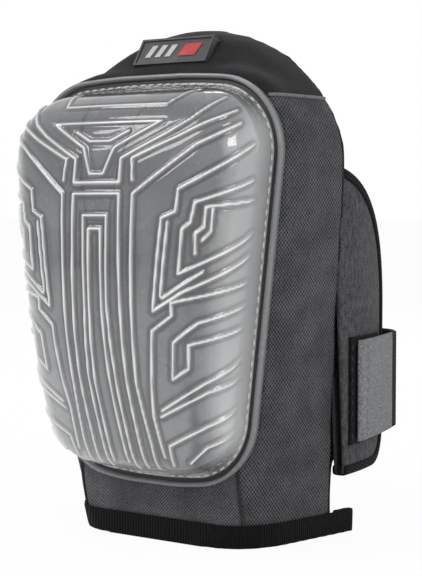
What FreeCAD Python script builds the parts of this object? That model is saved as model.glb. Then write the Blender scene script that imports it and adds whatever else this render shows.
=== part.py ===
import FreeCAD, Part
import math
import os

from FreeCAD import Vector

# Knee pad, worn on the right or left knee. Front (the clear cap) faces -Y, +Z is up,
# and the pad stands on its hem at Z = 0. All sizes are millimetres.

doc = FreeCAD.newDocument("knee_pad")
sheet = doc.addObject("Spreadsheet::Sheet", "sizes")

DRIVING_SIZES = [
    ("pad_height", 250.0, "hem to the top of the rear arch"),
    ("dome_height", 46.0, "cap flange to the crown of the cap"),
    ("strap_reach", 134.0, "cap flange to the outside of the strap behind the leg"),
    ("front_top", 226.0, "height of the body where the cap flange ends"),
    ("badge_foot", 230.0, "height of the top panel at the lower edge of the badge"),
    ("badge_head", 243.0, "height of the top panel at the upper edge of the badge"),
    ("front_half_width", 77.5, "body at the shoulders, front"),
    ("rear_half_width", 79.5, "body at the shoulders, rear"),
    ("front_foot_half_width", 52.0, "body at the floor, front"),
    ("rear_foot_half_width", 64.0, "body at the floor, rear"),
    ("front_shoulder", 189.0, "height where the front corners start"),
    ("rear_shoulder", 184.0, "height where the rear arch starts"),
    ("front_corner", 38.0, "radius of the front top corners"),
    ("rear_corner", 50.0, "radius of the rear arch at its sides"),
    ("heel_height", 45.0, "below this the front corners draw in"),
    ("heel_corner", 26.0, "radius of the front corners at the floor, seen from above"),
    ("arch_depth", 41.0, "cap flange to the crest of the rear arch"),
    ("rear_edge_top", 45.0, "cap flange to the rear edge, at the shoulder"),
    ("rear_edge_foot", 61.0, "cap flange to the rear edge, near the floor"),
    ("skin", 1.2, "woven cover"),
    ("outer_foam_wall", 8.0, "closed-cell foam shell"),
    ("inner_foam_wall", 4.8, "soft foam against the knee"),
    ("lining_wall", 1.0, "knitted lining"),
    ("cap_wall", 2.6, "clear moulded cap"),
    ("flange_top", 225.0, "cap flange, upper edge"),
    ("flange_foot", 27.5, "cap flange, lower edge"),
    ("flange_shoulder_half_width", 74.5, "cap flange at its shoulders"),
    ("flange_low_half_width", 60.5, "cap flange at its lower corners"),
    ("flange_top_corner", 36.0, "radius of the upper corners"),
    ("flange_low_corner", 36.0, "radius of the lower corners"),
    ("flange_wall", 3.0, "thickness of the sewn flange"),
    ("flange_band", 6.5, "width of the sewn flange"),
    ("lip_width", 1.8, "raised lip round the flange"),
    ("lip_height", 1.0, "raised lip above the flange"),
    ("stitch_length", 3.2, ""),
    ("stitch_width", 0.9, ""),
    ("stitch_pitch", 5.0, ""),
    ("hem_height", 12.0, "binding round the foot of the wall"),
    ("hem_wall", 1.5, ""),
    ("hem_tongue", 16.0, "hem behind the rear edge of the wall"),
    ("side_seam_height", 213.0, "seam between top panel and side panels"),
    ("front_seam_half_width", 48.0, "seam between bottom panel and side panels"),
    ("piping_width", 1.6, ""),
    ("piping_height", 0.8, ""),
    ("badge_width", 44.0, ""),
    ("badge_length", 15.6, ""),
    ("badge_wall", 1.6, ""),
    ("badge_rim", 1.3, "width of the raised rim"),
    ("badge_rim_height", 0.7, ""),
    ("front_foam_wall", 14.0, "firm foam behind the cap"),
    ("gel_wall", 6.5, "gel insert behind the firm foam"),
    ("wing_radius", 165.0, "bend of the wings round the leg, at their middle"),
    ("wing_root_half_width", 71.0, "middle of the wing at its root"),
    ("wing_toe_in", 3.0, "degrees the wing leans in at its root"),
    ("wing_core_wall", 3.6, ""),
    ("wing_skin", 1.2, "cover and lining of the wing"),
    ("wing_top", 180.0, ""),
    ("wing_foot", 31.0, ""),
    ("wing_reach", 107.0, "cap flange to the rear edge of the wing"),
    ("wing_binding_width", 5.0, ""),
    ("wing_binding_wall", 0.8, ""),
    ("root_gap", 0.4, "fold between wall and wing"),
    ("strap_width", 50.0, ""),
    ("strap_wall", 2.0, ""),
    ("strap_foot", 47.0, "lower edge of the strap above the floor"),
    ("strap_turn", 20.0, "bend of the strap behind the leg"),
    ("strap_leaves_wing", 90.0, "cap flange to where the strap runs straight off the wing"),
    ("patch_wall", 1.2, "hook field on the wing"),
    ("patch_length", 37.0, ""),
    ("tab_wall", 1.6, "grey pull tab"),
    ("tab_hook_wall", 0.8, "fastening face of the tab"),
    ("tab_front", 62.0, "cap flange to the free end of the tab"),
    ("tab_straight", 22.0, "tab behind the place where it leaves the wing"),
    ("sewn_end_front", 72.0, "cap flange to the sewn end of the strap on the left wing"),
    ("tab_gap", 0.4, "between the tab and the hook field"),
]
for row, (alias, value, note) in enumerate(DRIVING_SIZES, start=1):
    sheet.set("A%d" % row, alias)
    sheet.set("B%d" % row, str(value))
    sheet.setAlias("B%d" % row, alias)
    sheet.set("C%d" % row, note)
doc.recompute()


def size(alias):
    return float(sheet.get(alias))


# Depths are given behind the cap flange, so one value puts the whole pad about its middle.
FLANGE_Y = 0.5 * (size("dome_height") - size("strap_reach"))
BIG = 400.0
FLOOR_CUT = 2.0
WALL = size("skin") + size("outer_foam_wall") + size("inner_foam_wall") + size("lining_wall")


def depth(behind_flange):
    return FLANGE_Y + behind_flange


def point(x, behind_flange, z):
    return Vector(x, depth(behind_flange), z)


def blend(a, b, t):
    return a + (b - a) * t


def arc(a, b, c):
    return Part.Arc(a, b, c).toShape()


def line(a, b):
    return Part.LineSegment(a, b).toShape()


def box(x0, x1, y0, y1, z0, z1):
    return Part.makeBox(x1 - x0, y1 - y0, z1 - z0, Vector(x0, y0, z0))


def fused(shapes):
    whole = shapes[0]
    if len(shapes) > 1:
        whole = shapes[0].multiFuse(shapes[1:])
    return whole.removeSplitter()


def keep(label, shape):
    piece = doc.addObject("Part::Feature", label)
    piece.Label = label
    piece.Shape = shape
    piece.Placement = FreeCAD.Placement()
    return piece


def arch(half_width, rise, corner):
    """Radius of the crown arc that meets two corner arcs, and the direction where they meet."""
    crown = ((half_width - corner) ** 2 + rise ** 2 - corner ** 2) / (2 * (rise - corner))
    sine = (half_width - corner) / (crown - corner)
    return crown, sine, math.sqrt(1 - sine * sine)


def tangent_angle(foot, centre, radius):
    """Angle, at a circle's centre, of the point where a line from foot touches it."""
    dx = foot[0] - centre[0]
    dz = foot[1] - centre[1]
    return math.atan2(dz, dx) + math.acos(radius / math.hypot(dx, dz))


# Body of the pad: elevations from the front face to behind the rear edge

BODY_FOOT = -30.0


def heel_inset(behind, inset):
    """How far a front corner draws in at the floor, for a layer drawn in by an inset."""
    corner = size("heel_corner")
    ahead = max(corner - behind, 0.0)
    layer_share = max(1 - inset / corner, 0.0)
    return 0.72 * (corner - math.sqrt(corner ** 2 - ahead ** 2)) * layer_share


def body_section(behind, inset, top, half_width, shoulder, corner, foot_half_width, draw_in):
    """One elevation: sides that widen upwards, drawn in at the heel, and a crowned top."""
    half_width -= inset
    corner -= inset
    top -= inset
    foot_half_width -= inset
    slope = (half_width - foot_half_width) / shoulder
    heel_z = size("heel_height")
    heel = (foot_half_width + slope * heel_z, heel_z)
    heel_slope = slope + draw_in / heel_z
    foot = (heel[0] - heel_slope * (heel_z - BODY_FOOT), BODY_FOOT)
    centre = (half_width - corner, shoulder)
    crown, sine, cosine = arch(half_width, top - shoulder, corner)
    start = tangent_angle(heel, centre, corner)
    end = math.atan2(cosine, sine)

    def corner_point(angle, side):
        x = centre[0] + corner * math.cos(angle)
        return point(side * x, behind, centre[1] + corner * math.sin(angle))

    middle = 0.5 * (start + end)
    right = [corner_point(a, 1) for a in (start, middle, end)]
    left = [corner_point(a, -1) for a in (end, middle, start)]
    right_foot, right_heel = [point(x, behind, z) for x, z in (foot, heel)]
    left_foot, left_heel = [point(-x, behind, z) for x, z in (foot, heel)]
    return Part.Wire([
        line(left_foot, right_foot),
        line(right_foot, right_heel),
        line(right_heel, right[0]),
        arc(*right),
        arc(right[2], point(0, behind, top), left[0]),
        arc(*left),
        line(left[2], left_heel),
        line(left_heel, left_foot),
    ])


def body_form(inset, front):
    """The body's outer form drawn in by an inset, with its front face moved back."""
    arch_depth = size("arch_depth")
    front_top = size("front_top")
    head = size("badge_head")
    crest = size("pad_height")
    stations = [
        (0.0, 5.0, front_top),
        (1.4, 2.4, front_top + 0.5),
        (5.0, 0.5, front_top + 1.5),
        (12.0, 0.0, size("badge_foot") + 0.5),
        (20.0, 0.0, head),
        (28.0, 0.0, blend(head, crest, 0.66)),
        (arch_depth, 0.0, crest),
        (arch_depth + 32.0, 0.0, crest + 2.0),
    ]
    wires = []
    for behind, edge_round, top in stations:
        t = min(behind / arch_depth, 1.0)
        behind_front = front + behind * (1 - front / (arch_depth + 32.0))
        wires.append(body_section(
            behind_front, inset + edge_round, top,
            blend(size("front_half_width"), size("rear_half_width"), t),
            blend(size("front_shoulder"), size("rear_shoulder"), t),
            blend(size("front_corner"), size("rear_corner"), t),
            blend(size("front_foot_half_width"), size("rear_foot_half_width"),
                  behind / size("rear_edge_foot")),
            heel_inset(behind, inset),
        ))
    return Part.makeLoft(wires, True, True)


def behind_rear_edge(offset):
    """Everything behind the leaning rear edge of the wall."""
    lean = (size("rear_edge_foot") - size("rear_edge_top")) / size("side_seam_height")

    def edge(z):
        return size("rear_edge_foot") - lean * z + offset

    corners = [point(-BIG, edge(-BIG), -BIG), point(-BIG, BIG, -BIG),
               point(-BIG, BIG, BIG), point(-BIG, edge(BIG), BIG)]
    face = Part.Face(Part.makePolygon(corners + corners[:1]))
    return face.extrude(Vector(2 * BIG, 0, 0))


BINDING = size("skin")
below_wall = box(-BIG, BIG, -BIG, BIG, -BIG, FLOOR_CUT)
rear_cut = behind_rear_edge(0)

form_skin = body_form(0, 0)
form_foam = body_form(size("skin"), size("skin"))
form_inner = body_form(size("skin") + size("outer_foam_wall"),
                       size("skin") + size("outer_foam_wall"))
form_lining = body_form(WALL - size("lining_wall"), WALL - size("lining_wall"))
form_cavity = body_form(WALL, WALL)


def layer(outside, inside):
    return outside.cut([inside, rear_cut, below_wall])


skin_layer = layer(form_skin, form_foam)
outer_foam = layer(form_foam, form_inner)


# Cap: flange outline and dome

def flange_outline(inset, behind):
    """Closed outline of the cap flange: sides that narrow downwards and four round corners."""
    top = size("flange_top") - inset
    foot = size("flange_foot") + inset
    high = size("flange_shoulder_half_width") - inset
    low = size("flange_low_half_width") - inset
    high_corner = size("flange_top_corner") - inset
    low_corner = size("flange_low_corner") - inset
    high_centre = (high - high_corner, top - high_corner - 1.5)
    low_centre = (low - low_corner, foot + low_corner + 1.5)
    high_crown, high_sine, high_cosine = arch(high, top - high_centre[1], high_corner)
    low_crown, low_sine, low_cosine = arch(low, low_centre[1] - foot, low_corner)
    dx = high_centre[0] - low_centre[0]
    dz = high_centre[1] - low_centre[1]
    side_angle = -math.asin(-(low_corner - high_corner) / math.hypot(dx, dz)) - math.atan2(dx, dz)
    angles_high = (side_angle, 0.5 * (side_angle + math.atan2(high_cosine, high_sine)),
                   math.atan2(high_cosine, high_sine))
    low_end = -math.atan2(low_cosine, low_sine)
    angles_low = (low_end, 0.5 * (low_end + side_angle), side_angle)

    def at(centre, radius, angle, side):
        return point(side * (centre[0] + radius * math.cos(angle)), behind,
                     centre[1] + radius * math.sin(angle))

    low_right = [at(low_centre, low_corner, a, 1) for a in angles_low]
    high_right = [at(high_centre, high_corner, a, 1) for a in angles_high]
    low_left = [at(low_centre, low_corner, a, -1) for a in reversed(angles_low)]
    high_left = [at(high_centre, high_corner, a, -1) for a in reversed(angles_high)]
    return Part.Wire([
        arc(low_left[2], point(0, behind, foot), low_right[0]),
        arc(*low_right),
        line(low_right[2], high_right[0]),
        arc(*high_right),
        arc(high_right[2], point(0, behind, top), high_left[0]),
        arc(*high_left),
        line(high_left[2], low_left[0]),
        arc(*low_left),
    ])


def flange_prism(inset, front, back):
    face = Part.Face(flange_outline(inset, front))
    return face.extrude(Vector(0, back - front, 0))


def outline_half_width(z, inset):
    """Half width of the flange outline at a height, so the dome fills the flange."""
    slab = flange_outline(inset, 0)
    cutter = line(point(0, 0, z), point(BIG, 0, z))
    near = slab.distToShape(cutter)[1]
    return max(abs(pair[0].x) for pair in near)


# The crown line from the foot of the dome to its top: share of the height, share of the depth
CROWN_LINE = [(0.0, 0.06), (0.012, 0.36), (0.035, 0.55), (0.065, 0.62), (0.107, 0.68),
              (0.183, 0.785), (0.26, 0.88), (0.357, 0.95), (0.45, 0.985), (0.55, 1.0),
              (0.66, 0.995), (0.76, 0.97), (0.83, 0.93), (0.90, 0.845), (0.945, 0.70),
              (0.975, 0.50), (0.99, 0.28), (1.0, 0.06)]


# A coarser crown line for the hollow that the knee sits in
CUP_LINE = [(0.0, 0.06), (0.04, 0.5), (0.16, 0.77), (0.35, 0.95), (0.55, 1.0), (0.75, 0.97),
            (0.88, 0.82), (0.96, 0.5), (1.0, 0.06)]


def dome(wall, back, crown_line=CROWN_LINE):
    """Domed form inside the flange, drawn in by a wall, flat at its back."""
    band = size("flange_band")
    foot = size("flange_foot") + band + 0.3
    top = size("flange_top") - band - 0.3
    middle = 0.5 * (foot + top)
    shrink = (top - foot - 2 * wall) / (top - foot)
    full = size("dome_height")
    wires = []
    for share, crown in crown_line:
        z_full = foot + share * (top - foot)
        z = middle + (z_full - middle) * shrink
        half = outline_half_width(z_full, band) - wall
        rise = crown * (full - wall)
        corner = 0.55 * rise
        spring = -0.33 * rise
        radius, sine, cosine = arch(half, 0.67 * rise, corner)

        def shoulder(angle, side):
            return point(side * (half - corner + corner * math.cos(angle)),
                         spring - corner * math.sin(angle), z)

        meet = math.atan2(cosine, sine)
        right = [shoulder(a, 1) for a in (0, 0.5 * meet, meet)]
        left = [shoulder(a, -1) for a in (meet, 0.5 * meet, 0)]
        wires.append(Part.Wire([
            line(point(-half, back, z), point(half, back, z)),
            line(point(half, back, z), right[0]),
            arc(*right),
            arc(right[2], point(0, -rise, z), left[0]),
            arc(*left),
            line(left[2], point(-half, back, z)),
        ]))
    return Part.makeLoft(wires, True, True)


dome_outside = dome(0, 0)
dome_inside = dome(size("cap_wall"), 0)

# Clear cap: flange with a raised lip and a hollow dome

flange_front = -size("flange_wall")
lip_front = flange_front - size("lip_height")
flange = flange_prism(0, flange_front, 0)
lip = flange_prism(0, lip_front, flange_front).cut(
    flange_prism(size("lip_width"), lip_front, flange_front))

clear_cap = fused([flange, lip, dome_outside]).cut(dome_inside)


def stitch(at, along, out, length=None):
    """One visible stitch, lying along a seam and standing on its surface."""
    span = length or size("stitch_length")
    width = size("stitch_width")
    along = Vector(along).normalize()
    out = Vector(out).normalize()
    across = out.cross(along)
    rise = 0.5
    base = at - along * (0.5 * span) - across * (0.5 * width)
    corners = [base, base + along * span, base + along * span + across * width,
               base + across * width]
    face = Part.Face(Part.makePolygon(corners + corners[:1]))
    return face.extrude(out * rise)


stitch_line = flange_outline(size("lip_width") + 2.2, flange_front)
stitch_count = int(stitch_line.Length / size("stitch_pitch"))
stitch_points = stitch_line.discretize(Number=stitch_count + 1)
cap_stitches = [stitch(a, b - a, Vector(0, -1, 0))
                for a, b in zip(stitch_points[:-1], stitch_points[1:])]

# Front of the pad under the cap

cap_gap = size("cap_wall") + 0.3
panel_outside = dome(cap_gap, 0)
panel_inside = dome(cap_gap + size("skin"), size("skin"))
front_zone = flange_prism(0, -1, 6)
front_margin = skin_layer.common(front_zone).cut(panel_inside)
front_panel = fused([panel_outside.cut(panel_inside), front_margin])
skin_rest = skin_layer.cut(front_zone)

# Domed layers behind the front panel: firm foam, gel, soft foam and lining round the knee cup

overlap = 2.0
foam_start = cap_gap + size("skin")
gel_start = foam_start + size("front_foam_wall")
soft_start = gel_start + size("gel_wall")
lining_start = soft_start + size("inner_foam_wall")
cup_start = lining_start + size("lining_wall")
gel_back = size("skin") + size("outer_foam_wall")
soft_back = gel_back + size("inner_foam_wall")
front_foam = dome(foam_start, size("skin")).cut(dome(gel_start, WALL + overlap))
outer_foam = outer_foam.cut(dome(gel_start, WALL + overlap))
soft_dome = dome(soft_start, gel_back + overlap, CUP_LINE)
gel_insert = dome(gel_start, gel_back).cut(soft_dome)
soft_form = form_inner.fuse(soft_dome)
lining_form = form_lining.fuse(dome(lining_start, soft_back + overlap, CUP_LINE))
cup_form = form_cavity.fuse(dome(cup_start, WALL + overlap, CUP_LINE))
inner_foam = layer(soft_form, lining_form)
inner_lining = layer(lining_form, cup_form)

# Cover panels, split at the seams

seam_z = size("side_seam_height")
seam_x = size("front_seam_half_width")
above_seam = box(-BIG, BIG, -BIG, BIG, seam_z, BIG)
middle_zone = box(-seam_x, seam_x, -BIG, BIG, -BIG, seam_z)
right_zone = box(seam_x, BIG, -BIG, BIG, -BIG, seam_z)
left_zone = box(-BIG, -seam_x, -BIG, BIG, -BIG, seam_z)
top_panel = skin_rest.common(above_seam)
bottom_panel = skin_rest.common(middle_zone)
right_side_panel = skin_rest.common(right_zone)
left_side_panel = skin_rest.common(left_zone)

# Piped seams stand a little proud of the cover

half_piping = 0.5 * size("piping_width")
proud = body_form(-size("piping_height"), -size("piping_height")).cut(
    [form_skin, flange_prism(-0.6, -10, 8), rear_cut])
side_piping = proud.common(box(-BIG, BIG, depth(2), BIG, seam_z - half_piping, seam_z + half_piping))
front_piping = [
    proud.common(box(side * seam_x - half_piping, side * seam_x + half_piping, -BIG, BIG,
                     size("hem_height") + 0.2, 0.5 * seam_z))
    for side in (1, -1)]

# Binding over the layers at the rear edge, and the hem round the foot of the wall

wall = form_skin.cut(form_cavity)
rear_binding = wall.common(rear_cut).cut([behind_rear_edge(BINDING), below_wall])
hem_outside = body_form(-size("hem_wall"), -size("hem_wall"))
hem_inside = body_form(WALL + size("hem_wall"), WALL + size("hem_wall"))
hem_zone = box(-BIG, BIG, -BIG, BIG, 0, size("hem_height"))
hem_slot = wall.cut([behind_rear_edge(BINDING), below_wall])
tongue_inside = body_form(3.0, 3.0).common(behind_rear_edge(BINDING))
hem = hem_outside.common(hem_zone).cut(
    [hem_inside, hem_slot, tongue_inside, behind_rear_edge(BINDING + size("hem_tongue"))])

# Badge on the steep front of the top panel: plate, raised rim and four slanted bars

badge_low = point(0, 12.0, size("badge_foot") + 0.5)
badge_high = point(0, 20.0, size("badge_head"))
badge_up = (badge_high - badge_low).normalize()
badge_out = Vector(1, 0, 0).cross(badge_up)
badge_middle = (badge_low + badge_high) * 0.5


def badge_block(x0, x1, v0, v1, back, front, slant=0.0):
    """Block in the badge's plane: x across, v up its face, from back to front."""
    corners = []
    for x, v in ((x0, v0), (x1, v0), (x1, v1), (x0, v1)):
        corners.append(badge_middle + Vector(x + slant * v, 0, 0) + badge_up * v + badge_out * back)
    face = Part.Face(Part.makePolygon(corners + corners[:1]))
    return face.extrude(badge_out * (front - back))


half_badge = 0.5 * size("badge_width")
half_badge_up = 0.5 * size("badge_length")
rim = size("badge_rim")
plate_front = size("badge_wall")
badge_plate = badge_block(-half_badge, half_badge, -half_badge_up, half_badge_up,
                          -6, plate_front).cut(form_skin)
badge_rim = badge_block(-half_badge, half_badge, -half_badge_up, half_badge_up,
                        plate_front, plate_front + size("badge_rim_height")).cut(
    badge_block(-half_badge + rim, half_badge - rim, -half_badge_up + rim, half_badge_up - rim,
                plate_front - 1, plate_front + 2))
badge_bars = [badge_block(x - 1.6, x + 1.6, -3.6, 3.6, plate_front, plate_front + 0.5, 0.35)
              for x in (-13.5, -7.5, -1.5)]
badge_accent = badge_block(5.0, 15.0, -3.6, 3.6, plate_front, plate_front + 0.5, 0.35)

# Wings: concentric layers bent round the leg, cut to a rounded side profile

wing_r = size("wing_radius")
toe_in = math.radians(size("wing_toe_in"))
root_depth = size("rear_edge_foot") - 4.0
wing_centre_x = size("wing_root_half_width") - wing_r * math.cos(toe_in)
wing_centre_depth = root_depth - wing_r * math.sin(toe_in)
half_sandwich = 0.5 * size("wing_core_wall") + size("wing_skin")
wing_out = wing_r + half_sandwich
leave_angle = math.asin((size("strap_leaves_wing") - wing_centre_depth) / wing_r)


def on_wing(radius, angle, z=0.0, run=0.0):
    """Point at a radius of the wing's bend, or run straight on past the bend."""
    x = wing_centre_x + radius * math.cos(angle) - run * math.sin(angle)
    return point(x, wing_centre_depth + radius * math.sin(angle) + run * math.cos(angle), z)


def angle_at(behind):
    return math.asin((behind - wing_centre_depth) / wing_r)


def bent_band(inside, outside, start, end, foot, height):
    """Upright band between two radii and two angles."""
    middle = 0.5 * (start + end)
    outline = Part.Wire([
        arc(on_wing(inside, start, foot), on_wing(inside, middle, foot), on_wing(inside, end, foot)),
        line(on_wing(inside, end, foot), on_wing(outside, end, foot)),
        arc(on_wing(outside, end, foot), on_wing(outside, middle, foot),
            on_wing(outside, start, foot)),
        line(on_wing(outside, start, foot), on_wing(inside, start, foot)),
    ])
    return Part.Face(outline).extrude(Vector(0, 0, height))


def straight_band(inside, outside, run_start, run_end, foot, height):
    """Upright band that runs straight on from the bend."""
    corners = [on_wing(inside, leave_angle, foot, run_start), on_wing(inside, leave_angle, foot, run_end),
               on_wing(outside, leave_angle, foot, run_end),
               on_wing(outside, leave_angle, foot, run_start)]
    return Part.Face(Part.makePolygon(corners + corners[:1])).extrude(Vector(0, 0, height))


def wing_profile(inset):
    """Side profile of the wing as a prism across the pad."""
    top = size("wing_top") - inset
    foot = size("wing_foot") + inset
    reach = size("wing_reach") - inset
    front = 20.0
    x = 20.0
    round_high = 70.0
    round_low = 20.0
    shoulder = reach - 0.75 * round_high
    quarter = math.sqrt(0.5)

    def at(behind, z):
        return point(x, behind, z)

    high = (shoulder, top - round_high)
    outline = Part.Wire([
        line(at(front, foot), at(reach - round_low, foot)),
        arc(at(reach - round_low, foot),
            at(reach - round_low + quarter * round_low, foot + round_low * (1 - quarter)),
            at(reach, foot + round_low)),
        line(at(reach, foot + round_low), at(reach, high[1])),
        arc(at(reach, high[1]), at(high[0] + 0.75 * 0.74 * round_high, high[1] + 0.62 * round_high),
            at(high[0], top)),
        line(at(high[0], top), at(front, top)),
        line(at(front, top), at(front, foot)),
    ])
    return Part.Face(outline).extrude(Vector(100, 0, 0))


wing_start = angle_at(root_depth - 25)
wing_end = angle_at(size("wing_reach") + 8)
binding_wall = size("wing_binding_wall")
sewn_profile = wing_profile(binding_wall)
behind_root = behind_rear_edge(BINDING + size("root_gap"))


def wing_layer(inside, outside, profile):
    band = bent_band(inside, outside, wing_start, wing_end, 0, size("wing_top") + 20)
    return band.common(profile).common(behind_root)


core_in = wing_r - 0.5 * size("wing_core_wall")
core_out = wing_r + 0.5 * size("wing_core_wall")
wing_in = wing_r - half_sandwich
wing_core = wing_layer(core_in, core_out, sewn_profile)
wing_cover = wing_layer(core_out, wing_out, sewn_profile)
wing_lining = wing_layer(wing_in, core_in, sewn_profile)
wing_binding = wing_layer(wing_in - binding_wall, wing_out + binding_wall, wing_profile(0)).cut(
    [wing_profile(size("wing_binding_width")), wing_layer(wing_in, wing_out, sewn_profile)])

# Hook field on the right wing, and the strap that closes on it

strap_foot = size("strap_foot")
strap_width = size("strap_width")
patch_out = wing_out + size("patch_wall")
patch_start = angle_at(root_depth + 1.5)
patch_end = angle_at(root_depth + 1.5 + size("patch_length"))
hook_patch = bent_band(wing_out + 0.05, patch_out, patch_start, patch_end, strap_foot - 2, strap_width + 3)

strap_in = patch_out + size("tab_gap")
tab_face_out = strap_in + size("tab_hook_wall")
tab_out = tab_face_out + size("tab_wall")
tab_start = angle_at(size("tab_front"))
tab_run = size("tab_straight")
strap_middle = 0.5 * (strap_in + tab_out)
half_strap = 0.5 * size("strap_wall")


def tab_layer(inside, outside, inset):
    foot = strap_foot + inset
    height = strap_width - 2 * inset
    return fused([bent_band(inside, outside, tab_start + inset / wing_r, leave_angle, foot, height),
                  straight_band(inside, outside, 0, tab_run - inset, foot, height)])


strap_tab = tab_layer(tab_face_out, tab_out, 0)
tab_hook_face = tab_layer(strap_in, tab_face_out, 1.0)

turn = size("strap_turn")
rear_middle = size("strap_reach") - half_strap
turn_centre_depth = rear_middle - turn
start_depth = wing_centre_depth + (strap_middle - turn) * math.sin(leave_angle)
run_to_turn = (turn_centre_depth - start_depth) / math.cos(leave_angle)
turn_centre = on_wing(strap_middle - turn, leave_angle, strap_foot, run_to_turn)
seam_gap = 0.4


def mirrored(vector):
    return Vector(-vector.x, vector.y, vector.z)


def turn_point(radius, angle):
    return turn_centre + Vector(radius * math.cos(angle), radius * math.sin(angle), 0)


def strap_side(offset):
    """Edges of one face of the elastic, from its right end round to its left end."""
    radius = turn + offset
    middle = 0.5 * (leave_angle + 0.5 * math.pi)
    right = [on_wing(strap_middle + offset, leave_angle, strap_foot, tab_run + seam_gap),
             turn_point(radius, leave_angle), turn_point(radius, middle),
             turn_point(radius, 0.5 * math.pi)]
    left = [mirrored(v) for v in reversed(right)]
    edges = [line(right[0], right[1]), arc(*right[1:]), line(right[3], left[0]),
             arc(*left[:3]), line(left[2], left[3])]
    return edges, right[0], left[3]


outer_edges, outer_right, outer_left = strap_side(half_strap)
inner_edges, inner_right, inner_left = strap_side(-half_strap)
strap_outline = Part.Wire(Part.__sortEdges__(
    outer_edges + [line(outer_left, inner_left)] + inner_edges + [line(inner_right, outer_right)]))
strap_elastic = Part.Face(strap_outline).extrude(Vector(0, 0, strap_width))

sewn_start = angle_at(size("sewn_end_front"))
fold_end = angle_at(size("wing_reach") - size("wing_binding_width") - 5)
sewn_end = fused([
    bent_band(strap_middle - half_strap, strap_middle + half_strap, sewn_start, leave_angle,
              strap_foot, strap_width),
    straight_band(strap_middle - half_strap, strap_middle + half_strap, 0, tab_run,
                  strap_foot, strap_width),
    bent_band(wing_out, strap_middle - half_strap, sewn_start, fold_end, strap_foot, strap_width),
])


def stitch_column(radius, behind, foot, height):
    """Upright row of stitches on a bent face."""
    angle = angle_at(behind)
    out = Vector(math.cos(angle), math.sin(angle), 0)
    count = int(height / size("stitch_pitch"))
    step = height / count
    return [stitch(on_wing(radius, angle, foot + (i + 0.5) * step), Vector(0, 0, 1), out)
            for i in range(count)]


def mirror(shape):
    return shape.mirror(Vector(0, 0, 0), Vector(1, 0, 0))


tab_stitches = stitch_column(tab_out, size("tab_front") + 4, strap_foot + 1, strap_width - 2)
patch_stitches = stitch_column(patch_out, root_depth + 3.5, strap_foot, strap_width - 1)
sewn_stitches = []
for behind in (size("sewn_end_front") + 3, size("sewn_end_front") + 11):
    sewn_stitches += stitch_column(strap_middle + half_strap, behind, strap_foot + 1, strap_width - 2)

PIECES = {
    "clear_cap": clear_cap,
    "cap_stitching": Part.makeCompound(cap_stitches),
    "front_panel": front_panel,
    "front_foam": front_foam,
    "gel_insert": gel_insert,
    "outer_foam": outer_foam,
    "inner_foam": inner_foam,
    "inner_lining": inner_lining,
    "top_panel": top_panel,
    "right_side_panel": right_side_panel,
    "left_side_panel": left_side_panel,
    "bottom_panel": bottom_panel,
    "side_seam_piping": side_piping,
    "front_seam_piping": Part.makeCompound(front_piping),
    "rear_binding": rear_binding,
    "hem_binding": hem,
    "badge_plate": badge_plate,
    "badge_rim": badge_rim,
    "badge_bars": Part.makeCompound(badge_bars),
    "badge_accent": badge_accent,
    "hook_patch": hook_patch,
    "hook_patch_stitching": Part.makeCompound(patch_stitches),
    "strap_elastic": strap_elastic,
    "strap_sewn_end": mirror(sewn_end),
    "strap_end_stitching": mirror(Part.makeCompound(sewn_stitches)),
    "strap_tab": strap_tab,
    "tab_hook_face": tab_hook_face,
    "tab_stitching": Part.makeCompound(tab_stitches),
}
WING_LAYERS = {"core": wing_core, "cover": wing_cover, "lining": wing_lining,
               "binding": wing_binding}
for layer_name, shape in WING_LAYERS.items():
    PIECES["right_wing_" + layer_name] = shape
    PIECES["left_wing_" + layer_name] = mirror(shape)

for label, shape in PIECES.items():
    keep(label, shape)
doc.recompute()

os.makedirs("parts", exist_ok=True)
total = 0
for label in PIECES:
    piece = doc.getObjectsByLabel(label)[0]
    shape = piece.Shape
    state = [flag for flag in piece.State if flag in ("Invalid", "Error")]
    if state or shape.isNull() or not shape.isValid() or not shape.Solids:
        raise RuntimeError("piece %s failed: %s" % (label, state))
    shape.exportStep("parts/%s.step" % label)
    total += 1
    print("%-22s solids %3d  volume %9.1f  faces %4d" % (
        label, len(shape.Solids), shape.Volume, len(shape.Faces)))
print("pieces", total)
right_axis = on_wing(wing_in, angle_at(root_depth))
left_axis = mirrored(on_wing(wing_out, angle_at(root_depth)))
tab_axis = on_wing(tab_out, leave_angle, strap_foot, tab_run)
swing_axis = mirrored(on_wing(strap_middle + half_strap, leave_angle, strap_foot, tab_run))
print("right wing fold", right_axis, "left wing fold", left_axis)
print("tab fold", tab_axis, "strap fold", swing_axis, "flange plane", FLANGE_Y)
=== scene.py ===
import bmesh
import bpy
import math
import numpy as np
from mathutils import Matrix, Vector
from mathutils.bvhtree import BVHTree


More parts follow.
